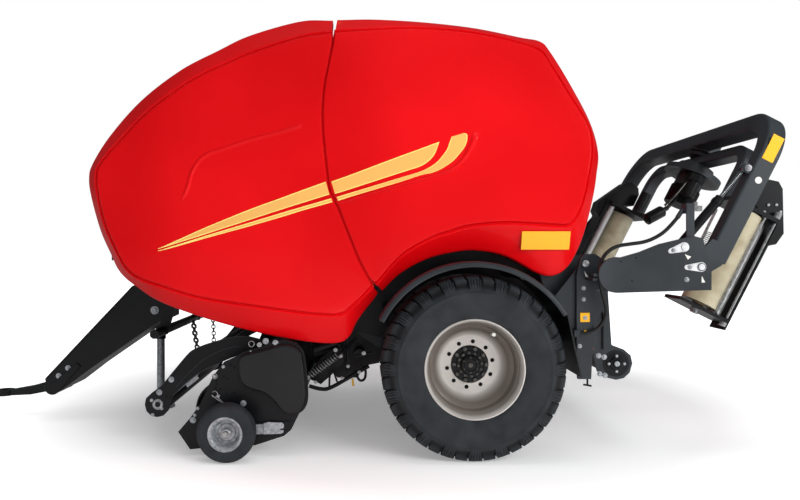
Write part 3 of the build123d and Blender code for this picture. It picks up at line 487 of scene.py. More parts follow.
def drive_tyre(steps=1080):
    """Points at radius r and depth y of the section, moved along its normal by the tread.

    Tread height: 0.018 m on the shoulder, 0.024 m on the crown, cut off at r = 0.65. Twenty
    grooved blocks start at r = 0.56, twenty plain ones between them at r = 0.59; both lean.
    Also returns how deep in a groove each point lies, from 0 to 1, for the painted shade there.
    """
    section = smooth_line(HALF_SECTION + [(r, -y) for r, y in HALF_SECTION[::-1]], 0.0165)
    slope = np.gradient(section, axis=0)
    out = right_of(slope)
    out *= np.sign(out[len(out) // 2, 0])
    t = np.linspace(0, 360, steps, endpoint=False)[:, None]
    r, y = section[:, 0][None], section[:, 1][None]
    pitch = 360 / 20
    shift = np.where(y > 0, 0, pitch / 2) + 14 * (0.27 - np.abs(y)) * np.sign(y) * (r > 0.61)
    block = (t + shift + pitch / 2) % pitch - pitch / 2
    between = (t + shift + pitch) % pitch - pitch / 2
    wide = 3.7 + 6 * (r - 0.56)
    grooved = window(block, wide, 0.3) * rise(r, 0.560, 0.566) * rise(np.abs(y), 0.105, 0.118)
    plain = window(between, 3.4, 0.9) * rise(r, 0.590, 0.606) * rise(np.abs(y), 0.030, 0.045)
    height = 0.018 + 0.006 * rise(r, 0.590, 0.622)
    slots = np.minimum(window(np.abs(block) - 1.9, 1.0, 0.3),
                       1 - window(np.abs(block) - 1.9, 0.35, 0.3))
    slots = slots * window(r - 0.588, 0.020, 0.004) * (np.abs(y) > 0.2)
    push = height * np.maximum(grooved, plain) - 0.005 * slots * grooved
    radius = np.minimum(r + push * out[:, 0], 0.650)
    depth = np.minimum(np.abs(y + push * out[:, 1]), 0.2995) * np.sign(y)
    angle = np.radians(t)
    points = np.stack([radius * np.cos(angle), depth + 0 * angle, radius * np.sin(angle)], -1)
    # painted shade: where this is 1, in the grooves between the blocks, the tyre is drawn
    # near-black
    groove = (1 - np.maximum(grooved, plain) * (1 - 0.8 * slots)) * rise(r, 0.560, 0.575)
    return grid(points + AXLE_AT, wrap_rows=True, wrap_cols=True), groove.ravel()


def with_painted_shade(material, name, attribute, colour):
    """A copy of a material that turns to one colour where a point attribute is 1, for painted
    shade.
    """
    copy = material.copy()
    copy.name = name
    shader = copy.node_tree.nodes["Principled BSDF"]
    clean = shader.inputs["Base Color"].links[0].from_socket
    amount = node(copy, "ShaderNodeAttribute", {"attribute_name": attribute})
    mixed = node(copy, "ShaderNodeMix", {"data_type": "RGBA"})
    factor, low, high = (mixed.inputs[k] for k in (0, 6, 7))
    high.default_value = linear(colour)
    for start, end in ((amount.outputs["Fac"], factor), (clean, low),
                       (mixed.outputs[2], shader.inputs["Base Color"])):
        copy.node_tree.links.new(start, end)
    return copy


# painted shade: near-black in the tread's grooves, a darker brown-grey in the rim's well
tread_rubber_groove_shade = with_painted_shade(rubber, "tyre_rubber_groove_shade", "groove", "#050607")
rim_paint_shaded_well = with_painted_shade(rim_paint, "wheel_enamel_shaded_well", "well_shade", "#6f6760")
tyre, groove = drive_tyre()
for side, sign in SIDES:
    piece = make(f"drive_tyre_{side}", on_side(tyre, sign), tread_rubber_groove_shade,
                 body_of(f"tyre_{side}"), angle=50)
    mark(piece, "groove", groove)
    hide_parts(f"tyre_{side}")
print("tyre faces", sum(len(f) for f in tyre[1]))

# %% [markdown]
# The side doors and the tailgate's side panels are mouldings: a nearly flat face, a soft crease
# and a broad bevel down to a deep edge. Each is one surface over two parameters, the place
# round the outline and the way from the back edge over the crease to the middle. Rounding the
# two corners inside that second parameter gives the long highlights that a bevel tool would
# break up. The face is domed by 10 mm, because a moulding is never quite flat.
# %% Side panels
FACE_Y, EDGE_Y, BACK_Y, LIP_Y = 1.270, 1.150, 1.030, 1.166
SEAM = [
    (0.129, 2.950), (0.158, 2.810), (0.186, 2.665), (0.200, 2.520), (0.200, 2.340),
    (0.172, 2.055), (0.150, 1.910), (0.105, 1.817), (0.007, 1.565), (-0.066, 1.392),
    (-0.137, 1.262),
]
# rows of edge x, edge z, crease x, crease z
DOOR_ROWS = [
    (-0.196, 1.164, -0.144, 1.232), (-0.167, 1.120, -0.085, 1.165),
    (-0.051, 0.968, 0.000, 1.085), (0.015, 0.844, 0.055, 1.040), (0.117, 0.797, 0.140, 1.027),
    (0.372, 0.815, 0.360, 1.045), (0.736, 0.888, 0.717, 1.094), (1.100, 0.990, 1.073, 1.151),
    (1.392, 1.099, 1.357, 1.237), (1.560, 1.205, 1.499, 1.287), (1.683, 1.311, 1.580, 1.345),
    (1.756, 1.456, 1.642, 1.436), (1.829, 1.624, 1.735, 1.650), (1.894, 1.857, 1.784, 1.834),
    (1.913, 2.000, 1.803, 2.000), (1.885, 2.110, 1.775, 2.090), (1.756, 2.316, 1.642, 2.247),
    (1.530, 2.571, 1.428, 2.468), (1.246, 2.790, 1.130, 2.681), (0.969, 2.935, 0.895, 2.795),
    (0.736, 3.045, 0.700, 2.879), (0.372, 3.147, 0.361, 2.987), (0.132, 3.154, 0.137, 3.020),
]
TAILGATE_ROWS = [
    (0.100, 3.158, 0.112, 3.026), (-0.175, 3.161, -0.186, 3.043),
    (-0.539, 3.139, -0.493, 3.050), (-0.903, 3.096, -0.850, 3.022),
    (-1.231, 3.030, -1.165, 2.957), (-1.377, 3.001, -1.353, 2.887),
    (-1.450, 2.928, -1.440, 2.765), (-1.603, 2.680, -1.553, 2.579),
    (-1.741, 2.411, -1.680, 2.365), (-1.803, 2.192, -1.709, 2.190),
    (-1.792, 2.025, -1.680, 1.977), (-1.770, 1.879, -1.645, 1.820),
    (-1.719, 1.660, -1.590, 1.710), (-1.654, 1.478, -1.540, 1.667),
    (-1.574, 1.347, -1.480, 1.668), (-1.472, 1.289, -1.420, 1.670),
    (-1.355, 1.311, -1.330, 1.677), (-1.122, 1.434, -1.080, 1.684),
    (-0.903, 1.474, -0.850, 1.663), (-0.721, 1.456, -0.706, 1.621),
    (-0.539, 1.405, -0.564, 1.571), (-0.357, 1.303, -0.351, 1.443),
    (-0.228, 1.180, -0.176, 1.248),
]
DOME = 0.010
STEP = 0.017


def moulding(rows, seam, middle):
    """A panel's outline as rows of edge x, edge z, crease x, crease z and back y, and its middle.

    Along the seam, edge and crease are one line, so the two panels meet without a bevel.
    """
    shaped = smooth_line(rows, 0.014)
    shaped = np.column_stack([shaped, np.full(len(shaped), BACK_Y)])
    joint = smooth_line(seam, 0.014)
    joint = np.column_stack([joint, joint, np.full(len(joint), LIP_Y)])
    return np.vstack([shaped, joint]), np.array(middle)


def bend_round(before, corner, after, reach, steps=7):
    """A corner rounded by (1-t)^2 A + 2t(1-t) B + t^2 C, A and C at reach from corner B."""
    t = np.linspace(0, 1, steps)[:, None, None]

    def toward(other):
        way = other - corner
        length = np.linalg.norm(way, axis=1, keepdims=True)
        return corner + way * np.minimum(reach / length, 0.45)

    return (1 - t) ** 2 * toward(before) + 2 * t * (1 - t) * corner + t ** 2 * toward(after)


def panel_surface(outline, middle):
    """Rings from the back edge over edge, ridge, groove and crease to the domed middle.

    The rim band starts at the ridge, STEP under the face, and a groove runs along its foot.
    A face ring at share q of the way in lies at crease + q (middle - crease), and its y is
    FACE_Y + DOME (1 - (1 - q)^2).
    """
    edge, crease, back_y = outline[:, :2], outline[:, 2:4], outline[:, 4]

    back, corner = at_depth(edge, back_y), at_depth(edge, EDGE_Y)
    corner[back_y > EDGE_Y, 1] = LIP_Y + 0.004
    top = at_depth(crease, FACE_Y)
    inner = at_depth(crease + 0.25 * (middle - crease), FACE_Y)
    way = edge - crease
    far = np.maximum(np.linalg.norm(way, axis=1, keepdims=True), 1e-6)
    foot = at_depth(crease + way / far * np.minimum(0.7 * STEP, 0.25 * far), FACE_Y - 1.7 * STEP)
    ridge = at_depth(crease + way / far * np.minimum(1.6 * STEP, 0.5 * far), FACE_Y - STEP)
    rings = [back[None], bend_round(back, corner, ridge, 0.022),
             bend_round(corner, ridge, foot, 0.006, 5), bend_round(ridge, foot, top, 0.004, 4),
             bend_round(foot, top, inner, 0.007)]
    start = rings[-1][-1][:, [0, 2]]
    for q in (0.04, 0.10, 0.18, 0.28, 0.40, 0.55, 0.70, 0.82, 0.91):
        y = FACE_Y + DOME * (1 - (1 - q) ** 2)
        rings.append(at_depth(start + q * (middle - start), y)[None])
    points = np.concatenate(rings)
    cells, quads = grid(points, wrap_cols=True)
    last = np.arange(len(cells) - len(outline), len(cells))
    fan = np.stack([last, np.full(len(last), len(cells)), np.roll(last, -1)], 1)
    pole = np.array([[middle[0], FACE_Y + DOME, middle[1]]])
    return np.vstack([cells, pole]), [*quads, fan]


def skin_height(outline, middle, flat):
    """y of the panel at (x, z) points: on the dome inside the crease, on the bevel outside."""
    def reach(ring):
        way = ring - middle
        order = np.argsort(np.arctan2(way[:, 1], way[:, 0]))
        return (np.arctan2(way[:, 1], way[:, 0])[order], np.linalg.norm(way, axis=1)[order])

    way = np.asarray(flat) - middle
    angle, far = np.arctan2(way[..., 1], way[..., 0]), np.linalg.norm(way, axis=-1)
    at_crease = np.interp(angle, *reach(outline[:, 2:4]), period=2 * pi)
    at_edge = np.interp(angle, *reach(outline[:, :2]), period=2 * pi)
    dome = FACE_Y + DOME * (1 - np.minimum(far / at_crease, 1) ** 2)
    out = far - at_crease
    slope = FACE_Y - np.minimum(out, STEP) - (FACE_Y - STEP - EDGE_Y) * np.maximum(
        out - STEP, 0) / np.maximum(at_edge - at_crease - STEP, 0.05)
    return np.where(far < at_crease, dome, slope)


door_seam = [(x + 0.008, z - 0.004) for x, z in SEAM]
tail_seam = [(x - 0.008, z + 0.004) for x, z in SEAM[::-1]]
DOOR = moulding(DOOR_ROWS, door_seam, (0.85, 1.95))
TAIL = moulding(TAILGATE_ROWS, tail_seam, (-0.50, 2.30))
for part, (outline, middle) in (("side_door", DOOR), ("tailgate_panel", TAIL)):
    skin = panel_surface(outline, middle)
    for side, sign in SIDES:
        piece = make(f"{part}_skin_{side}", on_side(skin, sign), red_paint,
                     body_of(f"{part}_{side}"), angle=40)
        thicken(piece, 0.012)
        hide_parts(f"{part}_{side}")
    print(part, len(outline), "points round,", sum(len(f) for f in skin[1]), "faces")

# %% [markdown]
# The stripes are cut vinyl film laid on the finished paint. Each one is a thin strip between two
# edge lines, lifted 0.7 mm off the panel's own surface, with a paler line along both edges where
# the film's second colour shows. Painting them in the shader would blur their pointed ends.
# The raised bead under them is moulded in: a strip with a round cross-section that sinks into
# the face at both sides.
# %% Stripes, beads, reflector and blank plates
def lay(outline_middle, flat, lift):
    """Points on a panel's skin from (x, z), moved out along y by lift."""
    y = skin_height(*outline_middle, flat) + lift
    return np.stack([flat[..., 0], y, flat[..., 1]], -1)


def between(upper, lower, count=90):
    """Two edge lines resampled to the same number of points, as (count, 2) arrays."""
    found = []
    for line in (upper, lower):
        fine = smooth_line(line, 0.004)
        found.append(fine[np.linspace(0, len(fine) - 1, count).round().astype(int)])
    return found


def stripe(skin, upper, lower, rim=0.007):
    """A film between two edge lines and two paler rims: P = upper + s (lower - upper)."""
    a, b = between(upper, lower)
    width = np.maximum(np.linalg.norm(b - a, axis=1, keepdims=True), 1e-4)
    k = np.minimum(rim / width, 0.5)
    inner = [a + (b - a) * (k + (1 - 2 * k) * s) for s in (0, 0.5, 1)]
    fill = lay(skin, np.stack(inner), 0.0007)
    rims = [lay(skin, np.stack([a, a + (b - a) * k]), 0.0007),
            lay(skin, np.stack([b - (b - a) * k, b]), 0.0007)]
    return grid(fill), merge(*(grid(edge) for edge in rims))


def bead(skin, line, half, height, end_half=None):
    """A raised bead on a panel: height cos^2 of the distance across, within half of the line."""
    p = smooth_line(line, 0.01)
    across = -right_of(np.gradient(p, axis=0))
    s = np.linspace(0, 1, len(p))
    wide = half + ((end_half or half) - half) * rise(s, 0.75, 1.0)
    fade = rise(s, 0.0, 0.12) * (1 - rise(s, 0.93, 1.0))
    q = np.linspace(-1, 1, 11)
    flat = p[None] + q[:, None, None] * (wide[:, None] * across)[None]
    lift = (height + 0.002) * np.cos(q * pi / 2)[:, None] ** 2 * fade[None] - 0.001
    return grid(lay(skin, flat, lift))


STRIPES = [
    (DOOR, "side_door",
     [(1.371, 1.488), (1.286, 1.525), (1.072, 1.621), (0.930, 1.681), (0.717, 1.767),
      (0.503, 1.845), (0.361, 1.898), (0.178, 1.964)],
     [(1.371, 1.485), (1.286, 1.511), (1.072, 1.578), (0.930, 1.624), (0.717, 1.693),
      (0.503, 1.763), (0.361, 1.808), (0.152, 1.874)]),
    (DOOR, "side_door",
     [(1.371, 1.473), (1.286, 1.499), (1.072, 1.567), (0.930, 1.610), (0.717, 1.674),
      (0.503, 1.739), (0.361, 1.781), (0.139, 1.846)],
     [(1.371, 1.470), (1.286, 1.490), (1.072, 1.550), (0.930, 1.590), (0.717, 1.648),
      (0.503, 1.710), (0.361, 1.754), (0.130, 1.820)]),
    (TAIL, "tailgate_panel",
     [(0.138, 1.965), (0.005, 2.012), (-0.208, 2.092), (-0.350, 2.145), (-0.493, 2.197),
      (-0.628, 2.247)],
     [(0.112, 1.878), (0.005, 1.911), (-0.208, 1.980), (-0.350, 2.026), (-0.421, 2.048),
      (-0.485, 2.069), (-0.528, 2.091), (-0.571, 2.126), (-0.600, 2.168), (-0.628, 2.243)]),
    (TAIL, "tailgate_panel",
     [(0.100, 1.855), (0.005, 1.884), (-0.208, 1.948), (-0.350, 1.991), (-0.493, 2.035),
      (-0.564, 2.069), (-0.614, 2.105), (-0.656, 2.154), (-0.685, 2.197), (-0.706, 2.254),
      (-0.717, 2.283)],
     [(0.090, 1.829), (0.005, 1.856), (-0.208, 1.920), (-0.350, 1.962), (-0.493, 2.009),
      (-0.571, 2.026), (-0.635, 2.051), (-0.699, 2.090), (-0.742, 2.126), (-0.784, 2.176),
      (-0.813, 2.218), (-0.827, 2.262), (-0.826, 2.300), (-0.802, 2.309)]),
]
for number, (skin, part, upper, lower) in enumerate(STRIPES):
    fill, rims = stripe(skin, upper, lower)
    for side, sign in SIDES:
        for kind, shape, finish in (("fill", fill, stripe_fill), ("rim", rims, stripe_edge)):
            make(f"stripe_{kind}_{number}_{side}", on_side(shape, sign), finish,
                 body_of(f"{part}_{side}"))

BEADS = [
    (DOOR, "side_door", 0.020, 0.011, 0.020,
     [(1.220, 1.800), (1.165, 1.905), (1.128, 2.030), (1.072, 2.118), (1.001, 2.168),
      (0.930, 2.190), (0.717, 2.260), (0.503, 2.318), (0.330, 2.370)]),
    (TAIL, "tailgate_panel", 0.018, 0.011, 0.034,
     [(0.110, 1.815), (0.005, 1.836), (-0.208, 1.898), (-0.350, 1.940), (-0.564, 1.998),
      (-0.706, 2.045), (-0.791, 2.115), (-0.848, 2.204), (-0.884, 2.290), (-0.895, 2.340)]),
]
for number, (skin, part, half, height, end_half, line) in enumerate(BEADS):
    points, faces = bead(skin, line, half, height, end_half)
    # eleven points across: the first cell shows which way the faces look, and out is +y
    if np.cross(points[11] - points[0], points[1] - points[0])[1] < 0:
        faces = [f[:, ::-1] for f in faces]
    for side, sign in SIDES:
        make(f"bead_{number}_{side}", on_side((points, faces), sign), red_paint,
             body_of(f"{part}_{side}"), angle=80)


def label(corners, thickness=0.002):
    """A thin flat plate on four corners, listed so that its outer side faces the reader."""
    p = np.array(corners, float)
    way = np.cross(p[1] - p[0], p[3] - p[0])
    way *= thickness / np.linalg.norm(way)
    rings = np.stack([p, p + way])
    return merge(grid(rings, wrap_cols=True, flip=True), cap(rings[0], flip=True), cap(rings[1]))


PLATES = (
    ("reflector", reflector_orange,
     [(0.092, 1.243, 3.055), (0.050, 1.243, 3.055), (0.050, 1.184, 3.122), (0.092, 1.184, 3.122)]),
    ("plate_yellow", yellow_plate,
     [(-1.222, 1.219, 1.482), (-1.568, 1.219, 1.482), (-1.568, 1.258, 1.612),
      (-1.222, 1.258, 1.612)]),
)
for side, sign in SIDES:
    for name, finish, corners in PLATES:
        make(f"{name}_{side}", on_side(label(corners), sign), finish, "tailgate")
print(len(STRIPES), "stripes,", len(BEADS), "beads on each side")

# %% [markdown]
# Hood and roof are one sheet each, drawn over a crowned former and stiffened by swages, so
# their shape is the side profile moved across the machine. At distance y from the middle the
# sheet sinks by drop |y / half|^3, and the swages lift its middle by smooth steps of 4 mm.
# %% Hood and roof
HOOD_LINE = [
    (0.200, 3.117), (0.372, 3.108), (0.732, 3.004), (0.962, 2.896), (1.232, 2.752), (1.508, 2.540),
    (1.726, 2.296), (1.848, 2.100), (1.872, 2.000), (1.856, 1.860), (1.800, 1.640),
]
ROOF_LINE = [
    (0.090, 3.140), (-0.175, 3.147), (-0.539, 3.125), (-0.903, 3.082), (-1.231, 3.016),
    (-1.365, 2.988), (-1.436, 2.915), (-1.425, 2.500), (-1.360, 2.100), (-1.330, 1.800),
    (-1.250, 1.480),
]


def crowned(line, half, inwards, swages, drop=0.018):
    """The sheet over a side profile; inwards is 1 where the sheet lies right of the line."""
    p = smooth_line(line, 0.03)
    side = right_of(np.gradient(p, axis=0)) * inwards
    near_swage = np.array([-0.020, -0.006, 0.006, 0.020])
    y = np.unique(np.concatenate([np.linspace(-half, half, 41), *[
        sign * (at + near_swage) for at in swages for sign in (-1, 1)]]))
    sink = drop * np.abs(y / half) ** 3 + 0.010
    for at in swages:
        sink = sink - 0.008 * (1 - rise(np.abs(y), at - 0.014, at + 0.014)) / len(swages)
    flat = p[:, None] + side[:, None] * sink[None, :, None]
    return grid(np.stack([flat[..., 0], np.broadcast_to(y, flat.shape[:2]), flat[..., 1]], -1),
                flip=inwards > 0)


for name, shape, node_name in (
    ("hood_sheet", crowned(HOOD_LINE, 1.000, 1, (0.34, 0.78)), "front_hood"),
    ("roof_sheet", crowned(ROOF_LINE, 1.022, -1, (0.40, 0.84)), "tailgate_roof"),
):
    piece = make(name, shape, red_paint, body_of(node_name), 40)
    thicken(piece, 0.004)
    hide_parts(node_name)
make("nose_panel", merge(
    box_shape((1.786, 1.798), (-1.000, 1.000), (1.400, 1.650), 0.003),
    *[box_shape((1.798, 1.801), (-0.90, 0.90), (z, z + 0.016), 0.001)
      for z in (1.44, 1.49, 1.54, 1.59)]), frame_black, "chassis")
EYE = [(0.120, 3.126), (0.142, 3.140), (0.144, 3.160), (0.128, 3.171), (0.090, 3.168),
       (-0.120, 3.140), (-0.120, 3.080), (0.060, 3.090)]
make("roof_eyes", merge(*[plate(EYE, y, y + 0.030, 0.003) for y in (-0.543, 0.513)]),
     frame_black, body_of("tailgate_roof"))
print("hood and roof done")

# %% [markdown]
# The rim is rolled from strip and welded to a pressed disc, both turned shapes, so one profile
# turned about the axle gives all its ridges: lip, flange, bead seat, well and dish. The disc's
# unused stud holes are flat black discs of painted shade, and the hub in the middle carries
# its own ring of studs.
# %% Rims and hubs
RIM_SECTION = [
    (0.137, 0.010), (0.137, 0.016), (0.205, 0.016), (0.216, 0.020), (0.226, 0.034),
    (0.240, 0.062), (0.262, 0.096), (0.286, 0.118), (0.298, 0.126), (0.303, 0.140),
    (0.304, 0.168), (0.310, 0.180), (0.321, 0.188), (0.325, 0.200), (0.327, 0.226),
    (0.333, 0.236), (0.336, 0.250), (0.337, 0.260), (0.342, 0.266), (0.349, 0.264),
    (0.352, 0.256), (0.349, 0.247), (0.341, 0.240), (0.338, 0.225), (0.338, -0.235),
    (0.352, -0.250), (0.350, -0.262), (0.336, -0.255), (0.332, -0.200), (0.300, -0.100),
    (0.290, 0.000), (0.285, 0.008), (0.137, 0.006),
]


def hexagon(across, height, chamfer=0.12):
    """A hexagon head: across its flats, chamfered at the top, its base on z = 0."""
    r = across / 3 ** 0.5
    profile = [(0.0, 0.0), (r, 0.0), (r, height * (1 - chamfer)), (r * 0.88, height), (0.0, height)]
    return turned(profile, steps=6)


def around(shape, radius, count, start=0.0):
    """Copies of a shape placed on a circle about z."""
    t = np.radians(start) + np.arange(count) * 2 * pi / count
    return merge(*[placed(shape, (radius * cos(a), radius * sin(a), 0), turn=a) for a in t])


rim = turned(RIM_SECTION, steps=144, closed=True)
holes = around(placed(pin(0.015, 0, 0.0008, 20), (0, 0, 0.0162)), 0.1665, 10, 10)
hub = turned([(0.0, -0.03), (0.134, -0.03), (0.134, 0.020), (0.128, 0.028), (0.104, 0.030),
              (0.098, 0.036), (0.072, 0.038), (0.066, 0.062), (0.060, 0.068), (0.046, 0.070),
              (0.042, 0.064), (0.0, 0.064)], 60)
hub_bolts = merge(
    placed(around(hexagon(0.027, 0.016), 0.116, 10, 18), (0, 0, 0.028)),
    placed(around(hexagon(0.020, 0.010), 0.085, 12, 6), (0, 0, 0.036)),
    placed(around(hexagon(0.013, 0.006), 0.054, 6), (0, 0, 0.066)),
    placed(hexagon(0.034, 0.012), (0, 0, 0.062)),
)
valve = tube([(0.262, 0, 0.150), (0.270, 0, 0.165), (0.274, 0, 0.200)], 0.009, 10)
valve_cap = tube([(0.274, 0, 0.198), (0.276, 0, 0.222)], 0.013, 12)
VALVE_TURN = radians(150)
# rim_holes are black discs of painted shade in the unused stud holes; the shell's well is painted
# shade too
RIM_PARTS = (
    ("rim_shell", rim, rim_paint_shaded_well, "rim_silver"), ("rim_holes", holes, hole_shade_black, "black_metal"),
    ("hub", hub, frame_black, "black_metal"), ("hub_bolts", hub_bolts, worn_steel, "black_metal"),
    ("valve", placed(valve, (0, 0, 0), turn=VALVE_TURN), bright_steel, "steel"),
    ("valve_cap", placed(valve_cap, (0, 0, 0), turn=VALVE_TURN), pale_plate, "steel"),
)
for side, sign in SIDES:
    for name, shape, finish, slot in RIM_PARTS:
        piece = make(f"{name}_{side}", on_side(leftwards(shape, AXLE_AT), sign), finish,
                     body_of(f"rim_{side}"))
        if name == "rim_shell":
            radius = np.linalg.norm(shape[0][:, :2], axis=1)
            # painted shade: the well, between the disc's edge and the bead seat, is drawn darker
            mark(piece, "well_shade", rise(radius, 0.214, 0.262) * (1 - rise(radius, 0.318, 0.336)))
            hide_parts(f"rim_{side}")
print("rim radius", max(r for r, _ in RIM_SECTION))

# %% [markdown]
# The gauge wheel is a small rib tyre on a pressed rim. Its two bulging sidewalls and the two
# grooves of the tread are one profile turned about the stub.
# %% Gauge wheels
GAUGE_HALF = [
    (0.205, 0.010), (0.197, 0.012), (0.197, 0.018), (0.2045, 0.020), (0.2035, 0.034),
    (0.198, 0.050), (0.188, 0.066), (0.170, 0.074), (0.146, 0.076), (0.124, 0.072), (0.118, 0.060),
]
GAUGE_SECTION = [(r, -y) for r, y in GAUGE_HALF[::-1]] + GAUGE_HALF
GAUGE_RIM = [
    (0.026, -0.004), (0.056, -0.004), (0.064, -0.014), (0.080, -0.016), (0.088, 0.004),
    (0.092, 0.044), (0.100, 0.058), (0.112, 0.066), (0.121, 0.068), (0.123, 0.062), (0.118, 0.056),
    (0.112, 0.020), (0.112, -0.058), (0.123, -0.064), (0.121, -0.069), (0.104, -0.060),
    (0.092, -0.024), (0.026, -0.014),
]
hub_cap = merge(turned([(0.0, -0.05), (0.034, -0.05), (0.034, 0.040), (0.028, 0.046),
                        (0.0, 0.046)], 32), placed(hexagon(0.034, 0.016), (0, 0, 0.044)))
nuts = placed(around(hexagon(0.019, 0.010), 0.072, 4, 45), (0, 0, -0.014))
GAUGE_AT = (0.865, 1.360, 0.205)
GAUGE_PARTS = (
    ("gauge_tyre_ribbed", turned(GAUGE_SECTION, 96, closed=True), rubber, "tyre_rubber",
     "gauge_tyre"),
    ("gauge_rim_pressed", turned(GAUGE_RIM, 72, closed=True), zinc, "steel", "gauge_rim"),
    ("gauge_hub", hub_cap, bright_steel, "steel", None),
    ("gauge_nuts", nuts, zinc, "steel", None),
)
for side, sign in SIDES:
    for name, shape, finish, slot, stands_for in GAUGE_PARTS:
        piece = make(f"{name}_{side}", on_side(leftwards(shape, GAUGE_AT), sign), finish,
                     body_of(f"gauge_rim_{side}"))
        if stands_for:
            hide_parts(f"{stands_for}_{side}")
print("gauge wheels ready")

# %% [markdown]
# Bolts, washers and studs are turned shapes with six or many steps, placed along the face they
# hold. They are written as a list of places, because on the real machine they are bought parts
# and only their places are its own.
# %% Bolts on plates
def bolts(places, y, across, height):
    """Hexagon heads at (x, z) places on a plate face at y, on washers, each at its own angle."""
    one = merge(pin(across * 0.92, -0.001, 0.002), placed(hexagon(across, height), (0, 0, 0.002)))
    return merge(*[leftwards(one, (x, y, z), 0.4 * k) for k, (x, z) in enumerate(places)])


def discs(places, y, radius, height=0.001):
    """Flat round pieces at (x, z) places: hole mouths, washers, caps."""
    one = pin(radius, -0.001, height, 20)
    return merge(*[leftwards(one, (x, y, z)) for x, z in places])


PICKUP_Y, GUARD_Y = 1.217, 1.001
both_sides("pickup_bolts", merge(
    bolts([(0.917, 0.639), (0.720, 0.751), (1.102, 0.340), (1.123, 0.291)], PICKUP_Y, 0.013,
          0.007),
    bolts([(1.136, 0.255), (0.773, 0.376), (0.542, 0.809), (0.612, 0.823)], PICKUP_Y, 0.024,
          0.012)),
    zinc, "pickup")
# painted shade: black discs where the setting holes are
both_sides("pickup_holes", discs(
    [(0.865, 0.654), (0.837, 0.636), (0.914, 0.570), (0.886, 0.552), (0.967, 0.541),
     (0.963, 0.515), (0.973, 0.488), (0.940, 0.478), (0.893, 0.444), (0.838, 0.450)],
    PICKUP_Y, 0.0085), hole_shade_black, "pickup")
both_sides("guard_bolts", merge(
    bolts([(1.351, 0.506), (1.440, 0.410)], GUARD_Y, 0.024, 0.012),
    bolts([(1.489, 0.241), (1.498, 0.350), (1.423, 0.290)], GUARD_Y, 0.014, 0.008)),
    zinc, "crop_guard")
both_sides("guard_bearing", leftwards(turned(
    [(0.021, 0.0), (0.040, 0.0), (0.040, 0.005), (0.034, 0.009), (0.028, 0.006), (0.021, 0.008)],
    40, closed=True), (1.450, GUARD_Y, 0.320)), bright_steel, "crop_guard")
# painted shade: black discs where the holes are
both_sides("guard_holes", discs([(1.418, 0.395), (1.385, 0.379), (1.353, 0.377)], GUARD_Y, 0.007),
           hole_shade_black, "crop_guard")

# %% [markdown]
# The crop guard's arms are pressed from 5 mm sheet, so their long edges are folded outwards. A
# flange is a band along the arm's upper edge; the folds are drawn in anthracite, lighter than
# the black of the arm between them. The rail between the arms holds three short chains that stop
# the guard from dropping. They hang behind the bar they belong to and ride the guard, since a
# chain can't go slack here.
# %% Crop guard: folded edges, rail, adjuster, chains
ARM_TOP = [(0.640, 0.784), (0.700, 0.814), (0.772, 0.832), (0.870, 0.832), (0.985, 0.804),
           (1.098, 0.770), (1.180, 0.735), (1.227, 0.696), (1.324, 0.580), (1.422, 0.462),
           (1.490, 0.412)]
ARM_LOW = [(1.333, 0.387), (1.250, 0.468), (1.150, 0.548), (1.016, 0.618), (0.880, 0.676),
           (0.764, 0.716)]


def folded_edge(line, y0, y1, sheet=0.005):
    """A band over a line in x and z, from y0 to y1, sheet thick towards the line's right."""
    p = smooth_line(line, 0.015)
    under = p + right_of(np.gradient(p, axis=0)) * sheet
    rings = np.stack([at_depth(*ring) for ring in ((p, y0), (p, y1), (under, y1), (under, y0))], 1)
    return merge(grid(rings, wrap_cols=True), cap(rings[0]), cap(rings[-1], flip=True))


both_sides("guard_folds", merge(
    folded_edge(ARM_TOP, 0.999, 1.020),
    folded_edge(ARM_LOW, 0.999, 1.014),
    folded_edge([(0.740, 0.748), (0.870, 0.756), (1.000, 0.716), (1.110, 0.655), (1.230, 0.545),
                 (1.310, 0.455)], 0.999, 1.010, 0.004)),
    frame_grey, "crop_guard")
make("guard_rail", tube([(1.428, -0.984, 0.408), (1.428, 0.984, 0.408)], 0.012, 16), frame_black,
     "crop_guard")
both_sides("guard_adjuster", merge(
    plate([(1.262, 0.470), (1.238, 0.436), (1.150, 0.508), (1.176, 0.542)], 0.955, 0.962),
    tube([(1.340, 0.955, 0.396), (1.120, 0.955, 0.580)], 0.010, 12)),
    zinc, "crop_guard")


def link(pitch, wire):
    """An oval chain link about z = 0, two half circles pulled apart along x."""
    t = np.linspace(0, 2 * pi, 28, endpoint=False)
    half = pitch / 2 - wire
    x = np.where(np.cos(t) > 0, 1, -1) * half * 0.55 + np.cos(t) * half * 0.75
    line = np.stack([x, np.sin(t) * wire * 1.55, 0 * t], 1)
    return tube(line, wire / 2, 8, closed=True)


def chain(points, pitch=0.042, wire=0.0105):
    """Links along a line, every second one turned by a quarter round the line."""
    p = smooth_line(points, pitch * 0.78)
    way = np.gradient(p, axis=0)
    one = link(pitch * 1.25, wire)
    along_z = (one[0][:, [1, 2, 0]], one[1])
    return merge(*[placed(along_z, q, w, turn=(k % 2) * pi / 2)
                   for k, (q, w) in enumerate(zip(p, way))])


chains = merge(
    chain([(1.476, -0.200, 0.806), (1.470, -0.200, 0.740), (1.448, -0.205, 0.600),
           (1.410, -0.205, 0.418)]),
    chain([(1.458, -0.160, 0.806), (1.450, -0.160, 0.740), (1.430, -0.165, 0.600),
           (1.406, -0.172, 0.418)]),
    chain([(1.405, -0.665, 0.940), (1.395, -0.675, 0.800), (1.388, -0.680, 0.620),
           (1.394, -0.680, 0.500), (1.408, -0.680, 0.418)]))
make("guard_chains", chains, worn_steel, "crop_guard", 60)
print("chain faces", sum(len(f) for f in chains[1]))

